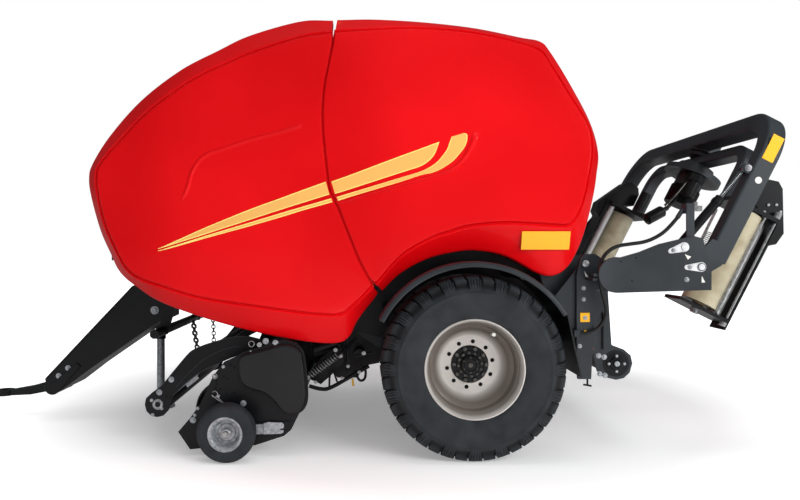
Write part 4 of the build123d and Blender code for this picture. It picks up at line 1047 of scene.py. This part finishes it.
# %% [markdown]
# The pickup's side carries a smooth moulded cover over its drive, a pattern of setting holes
# with a spring clip in one of them, and a galvanised bracket behind the gauge wheel. Under it
# spring tines come out between the stripper bands.
# %% Pickup: cover, clip, bracket, tines and bands
COVER = [
    (0.800, 0.660), (0.782, 0.722), (0.720, 0.744), (0.610, 0.772), (0.500, 0.800),
    (0.430, 0.798), (0.372, 0.764), (0.345, 0.700), (0.328, 0.560), (0.322, 0.440),
    (0.340, 0.365), (0.385, 0.320), (0.440, 0.308), (0.492, 0.330), (0.550, 0.400),
    (0.620, 0.455), (0.700, 0.480), (0.755, 0.505), (0.788, 0.560),
]


def cushion(outline, y0, y1, soft):
    """A moulded lid: wall up to y1 less soft, then a quarter round into a flat top.

    Ring k of the round is moved inwards by soft (1 - cos a) and up by soft sin a.
    """
    p = smooth_line(outline, 0.012, closed=True)
    if signed_area(p) > 0:
        p = p[::-1]
    inwards = right_of(np.roll(p, -1, 0) - np.roll(p, 1, 0))
    rings = [(p, y0), (p, y1 - soft)]
    rings += [(p + inwards * soft * (1 - cos(a)), y1 - soft + soft * sin(a))
              for a in np.linspace(0.2, pi / 2, 7)]
    points = np.stack([at_depth(*ring) for ring in rings])
    return merge(grid(points, wrap_cols=True, flip=True), cap(points[0], flip=True),
                 cap(points[-1]))


covers = both_sides("pickup_cover_lids", cushion(COVER, 1.2175, 1.258, 0.016), plastic_black,
                    "pickup", 60)
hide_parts("pickup_covers")
both_sides("pickup_cover_seal", cushion(
    [(x + 0.016 * np.sign(x - 0.55), z + 0.014 * np.sign(z - 0.55)) for x, z in COVER],
    PICKUP_Y, 1.224, 0.004), frame_black, "pickup", 60)


def ring_of_wire(x, y, z, radius, start=0):
    """Points round a ring of wire in the plane y, from the start-th of 25."""
    return [(x + radius * cos(a), y, z + radius * sin(a))
            for a in np.linspace(0, 2 * pi, 26)[start:-1]]


WIRE_R = 0.0030
clip_wire = ring_of_wire(0.975, 1.236, 0.446, 0.021, 3) + [
    (0.972, 1.236, 0.420), (0.945, 1.238, 0.402), (0.932, 1.240, 0.392), (0.915, 1.238, 0.388),
    (0.900, 1.236, 0.368), (0.884, 1.234, 0.352)]
both_sides("spring_clips", merge(
    tube(smooth_line(clip_wire, 0.006), 0.0032, 8),
    tube(smooth_line([(0.958, 1.238, 0.430), (0.930, 1.238, 0.400), (0.905, 1.238, 0.372),
                      (0.892, 1.238, 0.352)], 0.006), WIRE_R, 8),
    tube(ring_of_wire(0.976, 1.232, 0.573, 0.018), WIRE_R, 8, closed=True),
    tube(ring_of_wire(0.712, 1.236, 0.806, 0.020), WIRE_R, 8, closed=True)),
    bright_steel, "pickup", 60)
both_sides("pickup_pins", merge(
    tube([(0.975, 1.214, 0.573), (0.975, 1.243, 0.573)], 0.010, 16),
    tube([(0.655, 1.214, 0.800), (0.655, 1.240, 0.800)], 0.017, 20),
    tube([(0.950, 1.214, 0.432), (0.950, 1.246, 0.432)], 0.011, 16)),
    bright_steel, "pickup")
both_sides("gauge_bracket", merge(
    plate([(0.692, 0.226), (0.622, 0.232), (0.618, 0.160), (0.690, 0.158)], 1.231, 1.238),
    plate([(0.626, 0.238), (0.590, 0.250), (0.540, 0.246), (0.492, 0.244), (0.478, 0.228),
           (0.480, 0.204), (0.505, 0.200), (0.505, 0.192), (0.480, 0.190), (0.482, 0.172),
           (0.500, 0.164), (0.626, 0.160)], 1.238, 1.248, 0.003)),
    zinc, "pickup")

REEL_AT = (0.930, 0.330)
BAND_ARC = np.radians(np.linspace(-118, 98, 40))


def band(y, wide=0.050, r=0.192, sheet=0.003):
    """A stripper band: a strip of spring steel bent round the reel at radius r."""
    flat = [np.stack([REEL_AT[0] + k * np.cos(BAND_ARC), REEL_AT[1] + k * np.sin(BAND_ARC)], 1)
            for k in (r, r + sheet)]
    rings = np.stack([at_depth(flat[k], y + side * wide)
                      for k, side in ((0, -0.5), (0, 0.5), (1, 0.5), (1, -0.5))], 1)
    return merge(grid(rings, wrap_cols=True, flip=True), cap(rings[0], flip=True), cap(rings[-1]))


band_places = np.linspace(-1.14, 1.14, 33)
make("stripper_bands", merge(*[band(y) for y in band_places]), frame_black, "pickup")


def tine(y, angle, reach):
    """A double spring tine on a bar of the reel: two turns of coil, then a bent finger."""
    a = np.linspace(0, 4 * pi, 26)
    coil = np.stack([0.130 + 0.019 * np.cos(a), 0.019 * np.sin(a), y + 0.012 * a / (4 * pi)], 1)
    finger = np.array([(0.149, 0.004, y + 0.013), (0.190, -0.004, y + 0.013),
                       (reach, -0.030, y + 0.013)])
    line = np.vstack([coil, finger])
    c, s = cos(angle), sin(angle)
    x, z = line[:, 0] * c - line[:, 1] * s, line[:, 0] * s + line[:, 1] * c
    return tube(np.stack([REEL_AT[0] + x, line[:, 2], REEL_AT[1] + z], 1), 0.003, 6)


between_bands = (band_places[1:] + band_places[:-1]) / 2
make("tines", merge(*[tine(y - 0.008, radians(45 + 90 * k), 0.178)
                      for k in range(4) for y in between_bands[k % 2::2]]),
     worn_steel, "reel", 60)
print("pickup cells done")

# %% [markdown]
# Underneath, between pickup and wheel, sit the parts that a side view only hints at: the
# pickup's relief springs, a grease tank, linkage rods and the knife bank's levers. They are
# modelled as what they are, coils and rods on brackets, and fill the dark gap.
# %% Underbody: springs, tank, rods, lever
def coil_spring(start, end, radius, wire, turns, sides=8):
    """A helix of wire from start to end: (radius cos a, radius sin a, length t)."""
    start, end = np.array(start), np.array(end)
    t = np.linspace(0, 1, int(turns * 14))
    a = 2 * pi * turns * t
    local = np.stack([radius * np.cos(a), radius * np.sin(a), t * np.linalg.norm(end - start)], 1)
    return tube(local @ axes_for(end - start).T + start, wire / 2, sides)


UNDER_Y = 0.914
both_sides("relief_springs", coil_spring(
    (0.315, 0.930, 0.525), (0.100, 0.930, 0.680), 0.024, 0.009, 12),
    bright_steel, "chassis", 60)
both_sides("underbody_rods", merge(
    tube([(0.330, 0.930, 0.512), (0.070, 0.930, 0.702)], 0.009, 10),
    tube([(0.070, 0.930, 0.702), (-0.040, 0.880, 0.800)], 0.014, 10),
    tube([(0.030, 0.900, 1.040), (0.028, 0.900, 0.560)], 0.013, 12),
    tube(smooth_line([(0.325, 0.900, 0.438), (0.240, 0.900, 0.416), (0.165, 0.900, 0.423),
                      (0.012, 0.900, 0.507), (-0.133, 0.900, 0.591)], 0.02), 0.015, 12),
    tube(smooth_line([(-0.020, 0.880, 0.560), (-0.060, 0.880, 0.480), (-0.100, 0.880, 0.490),
                      (-0.105, 0.880, 0.560), (-0.060, 0.880, 0.600)], 0.015), 0.010, 10),
    tube(smooth_line([(0.170, 0.900, 0.430), (0.165, 0.900, 0.520), (0.140, 0.900, 0.550),
                      (0.110, 0.900, 0.470)], 0.015), 0.008, 10),
    tube([(-0.020, 0.880, 0.660), (-0.160, 0.880, 0.690)], 0.012, 12),
    plate([(0.330, 0.470), (0.300, 0.560), (0.240, 0.640), (0.150, 0.700), (0.060, 0.720),
           (0.060, 0.600), (0.160, 0.500), (0.240, 0.430)], 0.780, 0.792)),
    frame_black, "chassis")
both_sides("underbody_tank", placed(turned(
    [(0.0, -0.11), (0.050, -0.11), (0.062, -0.10), (0.062, 0.10), (0.050, 0.11), (0.0, 0.11)], 40),
    (0.205, 0.680, 0.715), (1, 0, -0.25)), plastic_black, "chassis")
both_sides("underbody_fittings", merge(
    bolts([(0.274, 0.469), (0.027, 0.591), (0.073, 0.500), (-0.060, 0.545)], UNDER_Y, 0.014, 0.012),
    bolts([(0.122, 0.715), (0.083, 0.670), (-0.094, 0.690)], UNDER_Y, 0.017, 0.016),
    tube([(0.330, 0.900, 0.512), (0.330, 0.955, 0.512)], 0.018, 14)),
    bright_steel, "chassis")
both_sides("grease_tag", plate(
    [(0.000, 0.500), (-0.016, 0.496), (-0.022, 0.440), (-0.004, 0.438)], 0.905, 0.909, 0.001),
    brass, "chassis")
print("underbody cells done")

# %% [markdown]
# The drawbar is a folded and welded box with bolts in its side faces and a flange along its
# upper edge. The front end has the toothed disc that sets the height of the towing eye.
# %% Drawbar: bolts, toothed discs, parking bracket
DRAWBAR_Y = 0.250
both_sides("hitch_discs", leftwards(merge(
    turned([(0.0, 0.0), (0.070, 0.0), (0.070, 0.008), (0.062, 0.014), (0.030, 0.014),
            (0.026, 0.028), (0.0, 0.028)], 48),
    around(turned([(0, 0), (0.006, 0), (0.003, 0.006), (0, 0.006)], 8), 0.058, 36)),
    (2.616, 0.150, 0.283)), frame_black, "chassis")
both_sides("drawbar_bolts", merge(
    bolts([(1.697, 0.957)], DRAWBAR_Y, 0.038, 0.020),
    bolts([(2.440, 0.463), (2.520, 0.395)], DRAWBAR_Y, 0.026, 0.014),
    bolts([(1.740, 1.120), (1.640, 1.140)], DRAWBAR_Y, 0.024, 0.012)), zinc, "chassis")
both_sides("drawbar_flange", merge(
    folded_edge([(1.884, 1.168), (2.150, 0.888), (2.400, 0.622), (2.630, 0.376)],
                0.246, 0.262, 0.006),
    plate([(2.330, 0.480), (2.360, 0.510), (2.575, 0.330), (2.560, 0.260), (2.500, 0.285)],
          DRAWBAR_Y, 0.262, 0.003)), frame_black, "chassis")
print("drawbar cell done")

# %% [markdown]
# The booms' pins are held by keeper plates: a round eye over the pin's end and a tail with one
# bolt. Blank white triangles mark the lifting and grease points. Each keeper is an outline made
# of a big and a small circle joined by their tangents, cut from 8 mm plate.
# %% Booms: keepers, marks, bolts
def keeper(centre, tail, big, small):
    """Outline of two circles and their outer tangents: centre with big, tail with small."""
    c, t = np.array(centre), np.array(tail)
    way = np.arctan2(*(t - c)[::-1])
    a = np.linspace(way + 1.45, way + 2 * pi - 1.45, 22)
    b = np.linspace(way - 1.35, way + 1.35, 10)
    return [tuple(c + big * np.array([cos(k), sin(k)])) for k in a] + [
        tuple(t + small * np.array([cos(k), sin(k)])) for k in b]


BOOM_Y = 1.380
KEEPERS = [((-2.320, 1.500), (-2.225, 1.472), 0.034, 0.017),
           ((-2.438, 1.361), (-2.338, 1.359), 0.034, 0.017)]
KEEPER_SHEET = 0.008
both_sides("boom_keepers", merge(
    *[plate(keeper(*k), BOOM_Y, BOOM_Y + KEEPER_SHEET, 0.002) for k in KEEPERS],
    *[leftwards(turned([(0.0, 0.0), (0.022, 0.0), (0.022, 0.006), (0.010, 0.008), (0.0, 0.004)],
                       28), (x, BOOM_Y + 0.010, z)) for (x, z), *_ in KEEPERS]),
    keeper_zinc, "wrapper_boom")
both_sides("boom_bolts", merge(
    bolts([(-2.243, 1.478), (-2.356, 1.360)], BOOM_Y + KEEPER_SHEET, 0.017, 0.008),
    bolts([(-2.340, 1.273)], BOOM_Y, 0.019, 0.012),
    bolts([(-1.765, 1.291)], 1.345, 0.019, 0.012)), zinc, "wrapper_boom")
both_sides("boom_marks", merge(
    plate([(-2.326, 1.449), (-2.370, 1.433), (-2.347, 1.412)], BOOM_Y, BOOM_Y + 0.001, 0.0003),
    plate([(-2.443, 1.300), (-2.443, 1.252), (-2.468, 1.254)], BOOM_Y, BOOM_Y + 0.001, 0.0003)),
    pale_plate, "wrapper_boom")
# painted shade: black discs where the holes are
both_sides("boom_holes", discs([(-1.880, 1.400), (-1.985, 1.426), (-1.958, 1.265)], BOOM_Y, 0.006),
           hole_shade_black, "wrapper_boom")

# %% [markdown]
# The upright beside the wheel ends the chassis: a round plate hub above, a blank yellow plate
# with one bolt, a T-handle tap below, and the flanged bearing of the bale table's roller.
# %% Uprights and table bearings
UPRIGHT_Y, HUB_Y = 1.165, 1.1804
both_sides("upright_pin", leftwards(
    turned([(0.0, 0.0), (0.025, 0.0), (0.025, 0.006), (0.018, 0.009), (0.012, 0.005),
            (0.0, 0.005)], 32), (-1.700, HUB_Y, 1.380)), bright_steel, "chassis")
both_sides("upright_marks", plate([(-1.690, 1.326), (-1.702, 1.274), (-1.722, 1.279)],
                                  HUB_Y, 1.182, 0.0003), pale_plate, "chassis")
both_sides("upright_plate_blank", merge(
    plate([(-1.664, 1.022), (-1.734, 1.022), (-1.734, 0.955), (-1.664, 0.955)], UPRIGHT_Y, 1.170),
    discs([(-1.702, 0.885)], UPRIGHT_Y, 0.011, 0.004)), yellow_plate, "chassis")
both_sides("upright_bolts", merge(
    bolts([(-1.700, 0.986)], 1.170, 0.017, 0.009),
    bolts([(-1.690, 1.200), (-1.690, 1.120), (-1.662, 0.780)], UPRIGHT_Y, 0.017, 0.009)),
    zinc, "chassis")
both_sides("tap_handle", merge(
    tube([(-1.722, 1.150, 0.640), (-1.722, 1.150, 0.500)], 0.007, 12),
    tube([(-1.693, 1.150, 0.498), (-1.751, 1.150, 0.488)], 0.007, 12)),
    frame_black, "chassis")
both_sides("marker_lamp", leftwards(turned(
    [(0.0, 0.0), (0.011, 0.0), (0.011, 0.010), (0.006, 0.015), (0.0, 0.016)], 24),
    (-1.757, 1.135, 0.760)), lamp_red, "chassis")
TABLE_X, TABLE_Z, CHEEK_Y = -2.000, 0.620, 0.955
bearing_studs = leftwards(merge(around(hexagon(0.020, 0.012), 0.058, 4), placed(
    turned([(0, 0), (0.020, 0), (0.020, 0.012), (0.008, 0.014), (0, 0.010)], 28), (0, 0, 0.008))),
    (TABLE_X, CHEEK_Y + 0.011, TABLE_Z))
both_sides("table_bearing", merge(
    leftwards(turned([(0, 0), (0.102, 0), (0.102, 0.0045), (0.100, 0.006), (0, 0.006)], 72),
              (TABLE_X, CHEEK_Y - 0.0049, TABLE_Z)),
    leftwards(turned([(0.026, 0.0), (0.074, 0.0), (0.074, 0.007), (0.052, 0.010), (0.046, 0.022),
                      (0.032, 0.024), (0.026, 0.018)], 40, closed=True),
              (TABLE_X, CHEEK_Y, TABLE_Z)),
    folded_edge([(-1.902, 0.728), (-1.902, 0.860), (-1.903, 1.005)], 0.952, 0.975, 0.008)),
    frame_black, "chassis")
both_sides("table_bolts", merge(
    bearing_studs, bolts([(-1.870, 0.677), (-1.912, 0.667), (-1.877, 0.540), (-1.917, 0.528)],
                         CHEEK_Y, 0.022, 0.012)), zinc, "chassis")
both_sides("table_roller_lagging", leftwards(turned(
    [(0.096, -0.440), (0.101, -0.436), (0.101, 0.436), (0.096, 0.440)], 64, closed=True),
    (TABLE_X, 0.450, TABLE_Z)), hose_rubber, "table_roller")
print("booms and uprights done")

# %% [markdown]
# Things on the satellite lean 27 degrees with its axis, so they are written in its own
# directions, u forwards and up, y to the left and t along the axis, and turned once.
# %% The satellite's own directions
LEAN = radians(27)
SAT_AT = np.array([-3.150, 0.0, 2.370])
SAT_U = np.array([cos(LEAN), 0, sin(LEAN)])
SAT_T = np.array([-sin(LEAN), 0, cos(LEAN)])


def sat(u, y, t):
    """The point at u, y, t of the satellite, in the machine's frame."""
    return SAT_AT + u * SAT_U + np.array([0, y, 0]) + t * SAT_T


def on_sat(shape, u, y, t):
    """A shape made about z, set on the satellite with z along its axis."""
    return placed(shape, sat(u, y, t), SAT_T)


def half_turned(shape):
    """The same shape on the satellite's other arm: a half turn about its axis."""
    way = shape[0] - SAT_AT
    along = (way @ SAT_T)[:, None] * SAT_T
    return SAT_AT + 2 * along - way, shape[1]


# %% [markdown]
# The ring under the portal carries a toothed belt wheel: a coarse trapezoid tooth repeated 40
# times round the rim. Below it hang the hydraulic motor, its fittings and the accumulator.
# %% Satellite head: toothed ring, motor, accumulator, fittings
def toothed(teeth_count, r_root, r_tip, t0, t1):
    """A gear blank: radius steps between root and tip with a trapezoid of four points a tooth."""
    k = np.arange(teeth_count * 4)
    share = np.array([0, 0.18, 0.50, 0.68])[k % 4]
    a = 2 * pi * (k // 4 + share) / teeth_count
    r = np.array([r_root, r_tip, r_tip, r_root])[k % 4]
    ring = np.stack([r * np.cos(a), r * np.sin(a)], 1)
    rings = np.stack([np.column_stack([ring * s, np.full(len(ring), t)]) for s, t in
                      ((0.985, t0), (1, t0 + 0.004), (1, t1 - 0.004), (0.985, t1))])
    return merge(grid(rings, wrap_cols=True, flip=True), cap(rings[0], flip=True), cap(rings[-1]))


make("toothed_ring", merge(
    on_sat(toothed(40, 0.206, 0.217, -0.290, -0.250), 0, 0, 0),
    on_sat(around(hexagon(0.026, 0.016), 0.170, 12), 0, 0, -0.245)),
    worn_steel, "satellite")
make("portal_ring_bolts", merge(
    on_sat(around(hexagon(0.024, 0.014), 0.135, 10), 0, 0, -0.041),
    on_sat(turned([(0.0, 0.0), (0.060, 0.0), (0.060, 0.060), (0.050, 0.075), (0.0, 0.075)], 36),
           0, 0, -0.035)), frame_black, "portal")
motor = merge(
    on_sat(turned([(0.0, -0.20), (0.052, -0.20), (0.060, -0.19), (0.060, 0.0), (0.0, 0.0)], 36),
           0.03, 0.175, -0.300),
    on_sat(pin(0.075, -0.06, 0, 6), 0.03, 0.175, -0.30),
    on_sat(turned([(0.0, -0.26), (0.120, -0.26), (0.126, -0.25), (0.126, -0.10), (0.118, -0.09),
                   (0.0, -0.09)], 48), 0, 0, -0.30))
make("wrapper_motor", merge(motor, half_turned(motor)), frame_black, "satellite")
accumulator_at = np.array([-2.514, 0.240, 1.731])
accumulator_to = np.array([-2.690, 0.200, 1.819])
make("accumulator", placed(turned(
    [(0.0, 0.0), (0.022, 0.0), (0.030, 0.008), (0.050, 0.014), (0.050, 0.174), (0.040, 0.186),
     (0.016, 0.196), (0.0, 0.196)], 40), accumulator_at, accumulator_to - accumulator_at),
    frame_black, "satellite")
make("accumulator_lines", merge(
    tube(smooth_line([accumulator_to, (-2.750, 0.180, 1.862), (-2.830, 0.120, 1.930),
                      (-2.900, 0.080, 2.010)], 0.03), 0.016, 12),
    tube(smooth_line([(-2.700, 0.190, 1.860), (-2.790, 0.200, 1.950), (-2.890, 0.180, 2.060)],
                     0.03), 0.010, 10),
    placed(hexagon(0.036, 0.030), (-2.700, 0.196, 1.826), (-0.85, -0.2, 0.5))),
    worn_steel, "satellite")
both_sides("valve_fittings", merge(
    box_shape((-2.468, -2.392), (1.292, 1.340), (1.752, 1.790)),
    placed(hexagon(0.030, 0.030), (-2.395, 1.318, 1.745), (0.6, 0, 0.8)),
    placed(hexagon(0.024, 0.026), (-2.430, 1.318, 1.792), (0, 0, 1))),
    bright_steel, "wrapper_boom")

# %% [markdown]
# Each portal leg carries a second thin rod with a coil spring, and the cylinder's pin. The
# blank yellow plate and the blank round plate sit on the leg's outer face.
# %% Portal: springs, pins, blank plates
gland = merge(
    placed(turned([(0.0165, 0.0), (0.037, 0.0), (0.037, 0.030), (0.030, 0.036), (0.0165, 0.036)],
                  36, closed=True), (-2.583, 1.290, 1.808), (-0.649, 0, 0.760)),
    tube([(-2.375, 1.322, 1.575), (-2.575, 1.322, 1.806)], 0.007, 10))
for side, sign in SIDES:
    make(f"tilt_cylinder_gland_{side}", on_side(gland, sign), frame_black,
         f"tilt_barrel_{side}")
both_sides("portal_pins", merge(
    tube([(-2.793, 1.246, 2.054), (-2.793, 1.338, 2.054)], 0.0145, 20),
    leftwards(turned([(0, 0), (0.024, 0), (0.024, 0.008), (0, 0.010)], 24),
              (-2.793, 1.330, 2.054)),
    leftwards(hexagon(0.026, 0.012), (-2.793, 1.338, 2.054))),
    bright_steel, "portal")
both_sides("portal_springs", merge(
    coil_spring((-2.520, 1.190, 1.475), (-2.590, 1.190, 1.610), 0.017, 0.006, 11),
    tube([(-2.503, 1.225, 1.525), (-2.625, 1.225, 1.770)], 0.010, 12)),
    bright_steel, "portal", 60)
LEG_Y = 1.3445
flat, faces = plate([(0.045, -0.340), (0.128, -0.340), (0.128, -0.150), (0.045, -0.150)],
                    LEG_Y, LEG_Y + 0.0015, 0.0004)
both_sides("portal_plate_yellow", (
    SAT_AT + flat[:, :1] * SAT_U + flat[:, 1:2] * [0, 1, 0] + flat[:, 2:] * SAT_T, faces),
    yellow_plate, "portal")
both_sides("portal_plate_round", discs([(-2.858, 1.968)], LEG_Y, 0.024, 0.0015), pale_plate,
           "portal")

# %% [markdown]
# The film carriage stretches the film between two driven rollers of ribbed aluminium. The ribs
# are a profile along the roller, turned once. Guide rods run beside them, and the carriage's
# plates carry spacers and bolts top and bottom.
# %% Film carriages
def ribbed(radius, length, pitch=0.012, depth=0.0025):
    """A roller along z from 0: radius r - depth (1 - cos(2 pi z / pitch)) / 2."""
    z = np.linspace(0, length, int(length / pitch * 6) + 1)
    r = radius - depth * (1 - np.cos(2 * pi * z / pitch)) / 2
    return turned([(0.0, 0.0), *zip(r, z), (0.0, length)], 28)


roller_parts = merge(*[on_sat(ribbed(0.0345, 0.770), -0.255, y, -1.413) for y in (0.905, 0.985)])
make("stretch_rollers", merge(roller_parts, half_turned(roller_parts)), ribbed_alu,
     "satellite", 60)
rods = merge(
    on_sat(pin(0.009, 0, 0.780, 14), -0.200, 1.108, -1.416),
    on_sat(pin(0.009, 0, 0.780, 14), -0.290, 1.095, -1.416),
    on_sat(pin(0.016, 0, 0.735, 20), -0.205, 1.060, -1.405),
    on_sat(around(hexagon(0.020, 0.012), 0.060, 4, 45), -0.255, 0.945, -0.600),
    on_sat(pin(0.024, 0, 0.050), -0.285, 1.090, -0.600),
    on_sat(pin(0.024, 0, 0.030), -0.285, 1.090, -1.482),
    on_sat(pin(0.030, 0, 0.040), -0.080, 1.035, -1.484),
    leftwards(around(hexagon(0.020, 0.010), 0.060, 6), (-3.120, 1.060, 1.760)))
make("film_guides", merge(rods, half_turned(rods)), bright_steel, "satellite")
core = on_sat(turned([(0.0385, -0.004), (0.044, -0.004), (0.044, 0.7585), (0.0385, 0.7585)], 40,
                     closed=True), -0.080, 1.035, -1.4065)
# grey board, wound and glued: dull, with no coating
core_board = finish_of("film_core_board", "#8a7350", Roughness=0.85)
for side, shape in (("left", core), ("right", half_turned(core))):
    make(f"film_core_{side}", shape, core_board, f"film_roll_{side}")
print("satellite cells done")

# %% [markdown]
# The mudguard is rotation-moulded plastic with a thick rolled lip along its outer edge. The lip
# is drawn in the lighter anthracite, not the moulding's black, as painted highlight. Inside the
# mudguard a flat liner closes the wheel arch, and a gusset joins the arch to the rear upright.
# The lip is a rounded section swept along an arc about the axle.
# %% Mudguard lip, arch liner, gussets
def arc_line(radius, start, end, count):
    """Points (x, z) on a circle about the axle: r (cos a, sin a), a in degrees."""
    a = np.radians(np.linspace(start, end, count))
    return np.stack([radius * np.cos(a), radius * np.sin(a)], 1) + AXLE_AT[[0, 2]]


def swept_arc(section, start, end, count=90):
    """A closed (r, y) section carried round the axle between two angles, with end caps."""
    rings = np.stack([at_depth(arc_line(r, start, end, count), y) for r, y in section], 1)
    return merge(grid(rings, wrap_cols=True), cap(rings[0]), cap(rings[-1], flip=True))


LIP_SECTION = [
    (0.714, 1.420), (0.711, 1.434), (0.720, 1.440), (0.732, 1.438), (0.744, 1.432), (0.750, 1.420),
    (0.751, 1.400), (0.751, 1.290), (0.745, 1.290), (0.745, 1.398), (0.738, 1.408), (0.724, 1.410),
]
# painted highlight: the lip in anthracite, lighter than the mudguard's own black
both_sides("mudguard_lips", swept_arc(LIP_SECTION, 27.5, 148.5), frame_grey, "chassis",
           40)
liner = np.vstack([arc_line(1.02, 12, 150, 50), arc_line(0.60, 150, 12, 40)])
both_sides("arch_liners", plate(liner, 0.700, 0.706, 0.001), frame_black, "chassis")
both_sides("rear_gussets", merge(
    plate([(-1.400, 1.335), (-1.480, 1.300), (-1.560, 1.345), (-1.690, 1.440), (-1.765, 1.440),
           (-1.765, 0.900), (-1.745, 0.560), (-1.660, 0.560), (-1.640, 0.900), (-1.560, 1.080),
           (-1.440, 1.200)], 0.990, 1.002, 0.002),
    plate([(-1.490, 1.140), (-1.640, 1.330), (-1.660, 1.330), (-1.660, 0.620), (-1.630, 0.700)],
          1.120, 1.130, 0.002)), frame_grey, "chassis")
both_sides("underbody_plates", merge(
    plate([(0.400, 0.860), (0.400, 0.650), (0.300, 0.560), (0.180, 0.520), (0.120, 0.440),
           (-0.040, 0.440), (-0.120, 0.540), (-0.220, 0.560), (-0.260, 0.860)],
          0.560, 0.570, 0.002),
    tube([(0.140, 0.570, 0.560), (0.140, 0.640, 0.560)], 0.070, 36),
    tube([(-0.060, 0.570, 0.640), (-0.060, 0.660, 0.640)], 0.045, 30)),
    frame_black, "chassis")
print("fill cells done")

# %% [markdown]
# Floor and light: a white sweep with a broad key light above and behind the camera, a strip
# towards the rear that lights the tailgate, and a plain pale world. The background is white to
# the camera only, so the paint mirrors the grey room and not a white void.
# %% Floor, light and world
floor_mesh = bpy.data.meshes.new("floor")
floor_mesh.from_pydata([(x * 40, y * 40, 0) for x, y in ((-1, -1), (1, -1), (1, 1), (-1, 1))],
                       [], [(0, 1, 2, 3)])
floor = bpy.data.objects.new("floor", floor_mesh)
# matt white vinyl; to the camera it also glows a little, more with distance, so that the
# sweep has no horizon and only the shadow is left on it
floor_vinyl = finish_of("studio_vinyl", "#f4f4f4", Roughness=0.95, Specular_IOR_Level=0.05)
from_here = node(floor_vinyl, "ShaderNodeTexCoord")
off_centre = node(floor_vinyl, "ShaderNodeVectorMath", {"operation": "ADD"},
                  {"Vector": (from_here, "Object")})
off_centre.inputs[1].default_value = (0.7, 0.6, 0.0)
distance = node(floor_vinyl, "ShaderNodeVectorMath", {"operation": "LENGTH"},
                {"Vector": (off_centre, "Vector")})
fade = node(floor_vinyl, "ShaderNodeMapRange",
            {"From Min": 2.5, "From Max": 5.0, "To Min": 0.26, "To Max": 1.1},
            {"Value": (distance, "Value")})
seen = node(floor_vinyl, "ShaderNodeLightPath")
glow = node(floor_vinyl, "ShaderNodeMath", {"operation": "MULTIPLY"})
floor_vinyl.node_tree.links.new(fade.outputs["Result"], glow.inputs[0])
floor_vinyl.node_tree.links.new(seen.outputs["Is Camera Ray"], glow.inputs[1])
floor_shader = floor_vinyl.node_tree.nodes["Principled BSDF"]
floor_shader.inputs["Emission Color"].default_value = (1, 1, 1, 1)
floor_vinyl.node_tree.links.new(glow.outputs[0], floor_shader.inputs["Emission Strength"])
floor_mesh.materials.append(floor_vinyl)
scene.collection.objects.link(floor)
for name, at, aim, size, power, mirrored_too in (
    ("key", (-5.4, 7.6, 4.9), (-0.8, 0.8, 1.3), (3.6, 3.0), 310, False),
    ("rear", (-7.0, 5.0, 3.5), (-0.8, 0.8, 1.6), (2.0, 3.0), 110, True),
    ("top", (-0.5, 1.5, 8.0), (-0.5, 0, 1), (6.0, 3.0), 110, False),
    ("front", (6.5, 4.5, 1.2), (0.5, 0.8, 1.0), (0.8, 2.4), 24, True),
    ("low", (-2.4, 7.4, 0.4), (-0.8, 0.8, 1.1), (6.0, 0.8), 135, False),
    ("sheen", (-1.0, 9.0, 7.5), (-0.3, 0.8, 1.3), (6.0, 0.7), 60, True),
):
    lamp_data = bpy.data.lights.new(name, "AREA")
    lamp_data.shape = "RECTANGLE"
    lamp_data.size, lamp_data.size_y = size
    lamp_data.energy = power
    lamp = bpy.data.objects.new(name, lamp_data)
    lamp.location = at
    lamp.visible_glossy = mirrored_too
    lamp.rotation_euler = (Vector(aim) - Vector(at)).to_track_quat("-Z", "Y").to_euler()
    scene.collection.objects.link(lamp)

world = bpy.data.worlds.new("studio")
scene.world = world
world.use_nodes = True
tree = world.node_tree
tree.nodes.clear()
out = tree.nodes.new("ShaderNodeOutputWorld")
room, mirror_room, white = (tree.nodes.new("ShaderNodeBackground") for _ in range(3))
for_glossy, for_camera = (tree.nodes.new("ShaderNodeMixShader") for _ in range(2))
path = tree.nodes.new("ShaderNodeLightPath")
for ground, colour, strength in ((room, "#eceef0", 0.42), (mirror_room, "#c9cdd2", 0.16),
                                 (white, "#ffffff", 1.0)):
    ground.inputs["Color"].default_value = linear(colour)
    ground.inputs["Strength"].default_value = strength
tree.links.new(path.outputs["Is Glossy Ray"], for_glossy.inputs[0])
tree.links.new(room.outputs[0], for_glossy.inputs[1])
tree.links.new(mirror_room.outputs[0], for_glossy.inputs[2])
tree.links.new(path.outputs["Is Camera Ray"], for_camera.inputs[0])
tree.links.new(for_glossy.outputs[0], for_camera.inputs[1])
tree.links.new(white.outputs[0], for_camera.inputs[2])
tree.links.new(for_camera.outputs[0], out.inputs["Surface"])
scene.view_settings.view_transform = "Standard"
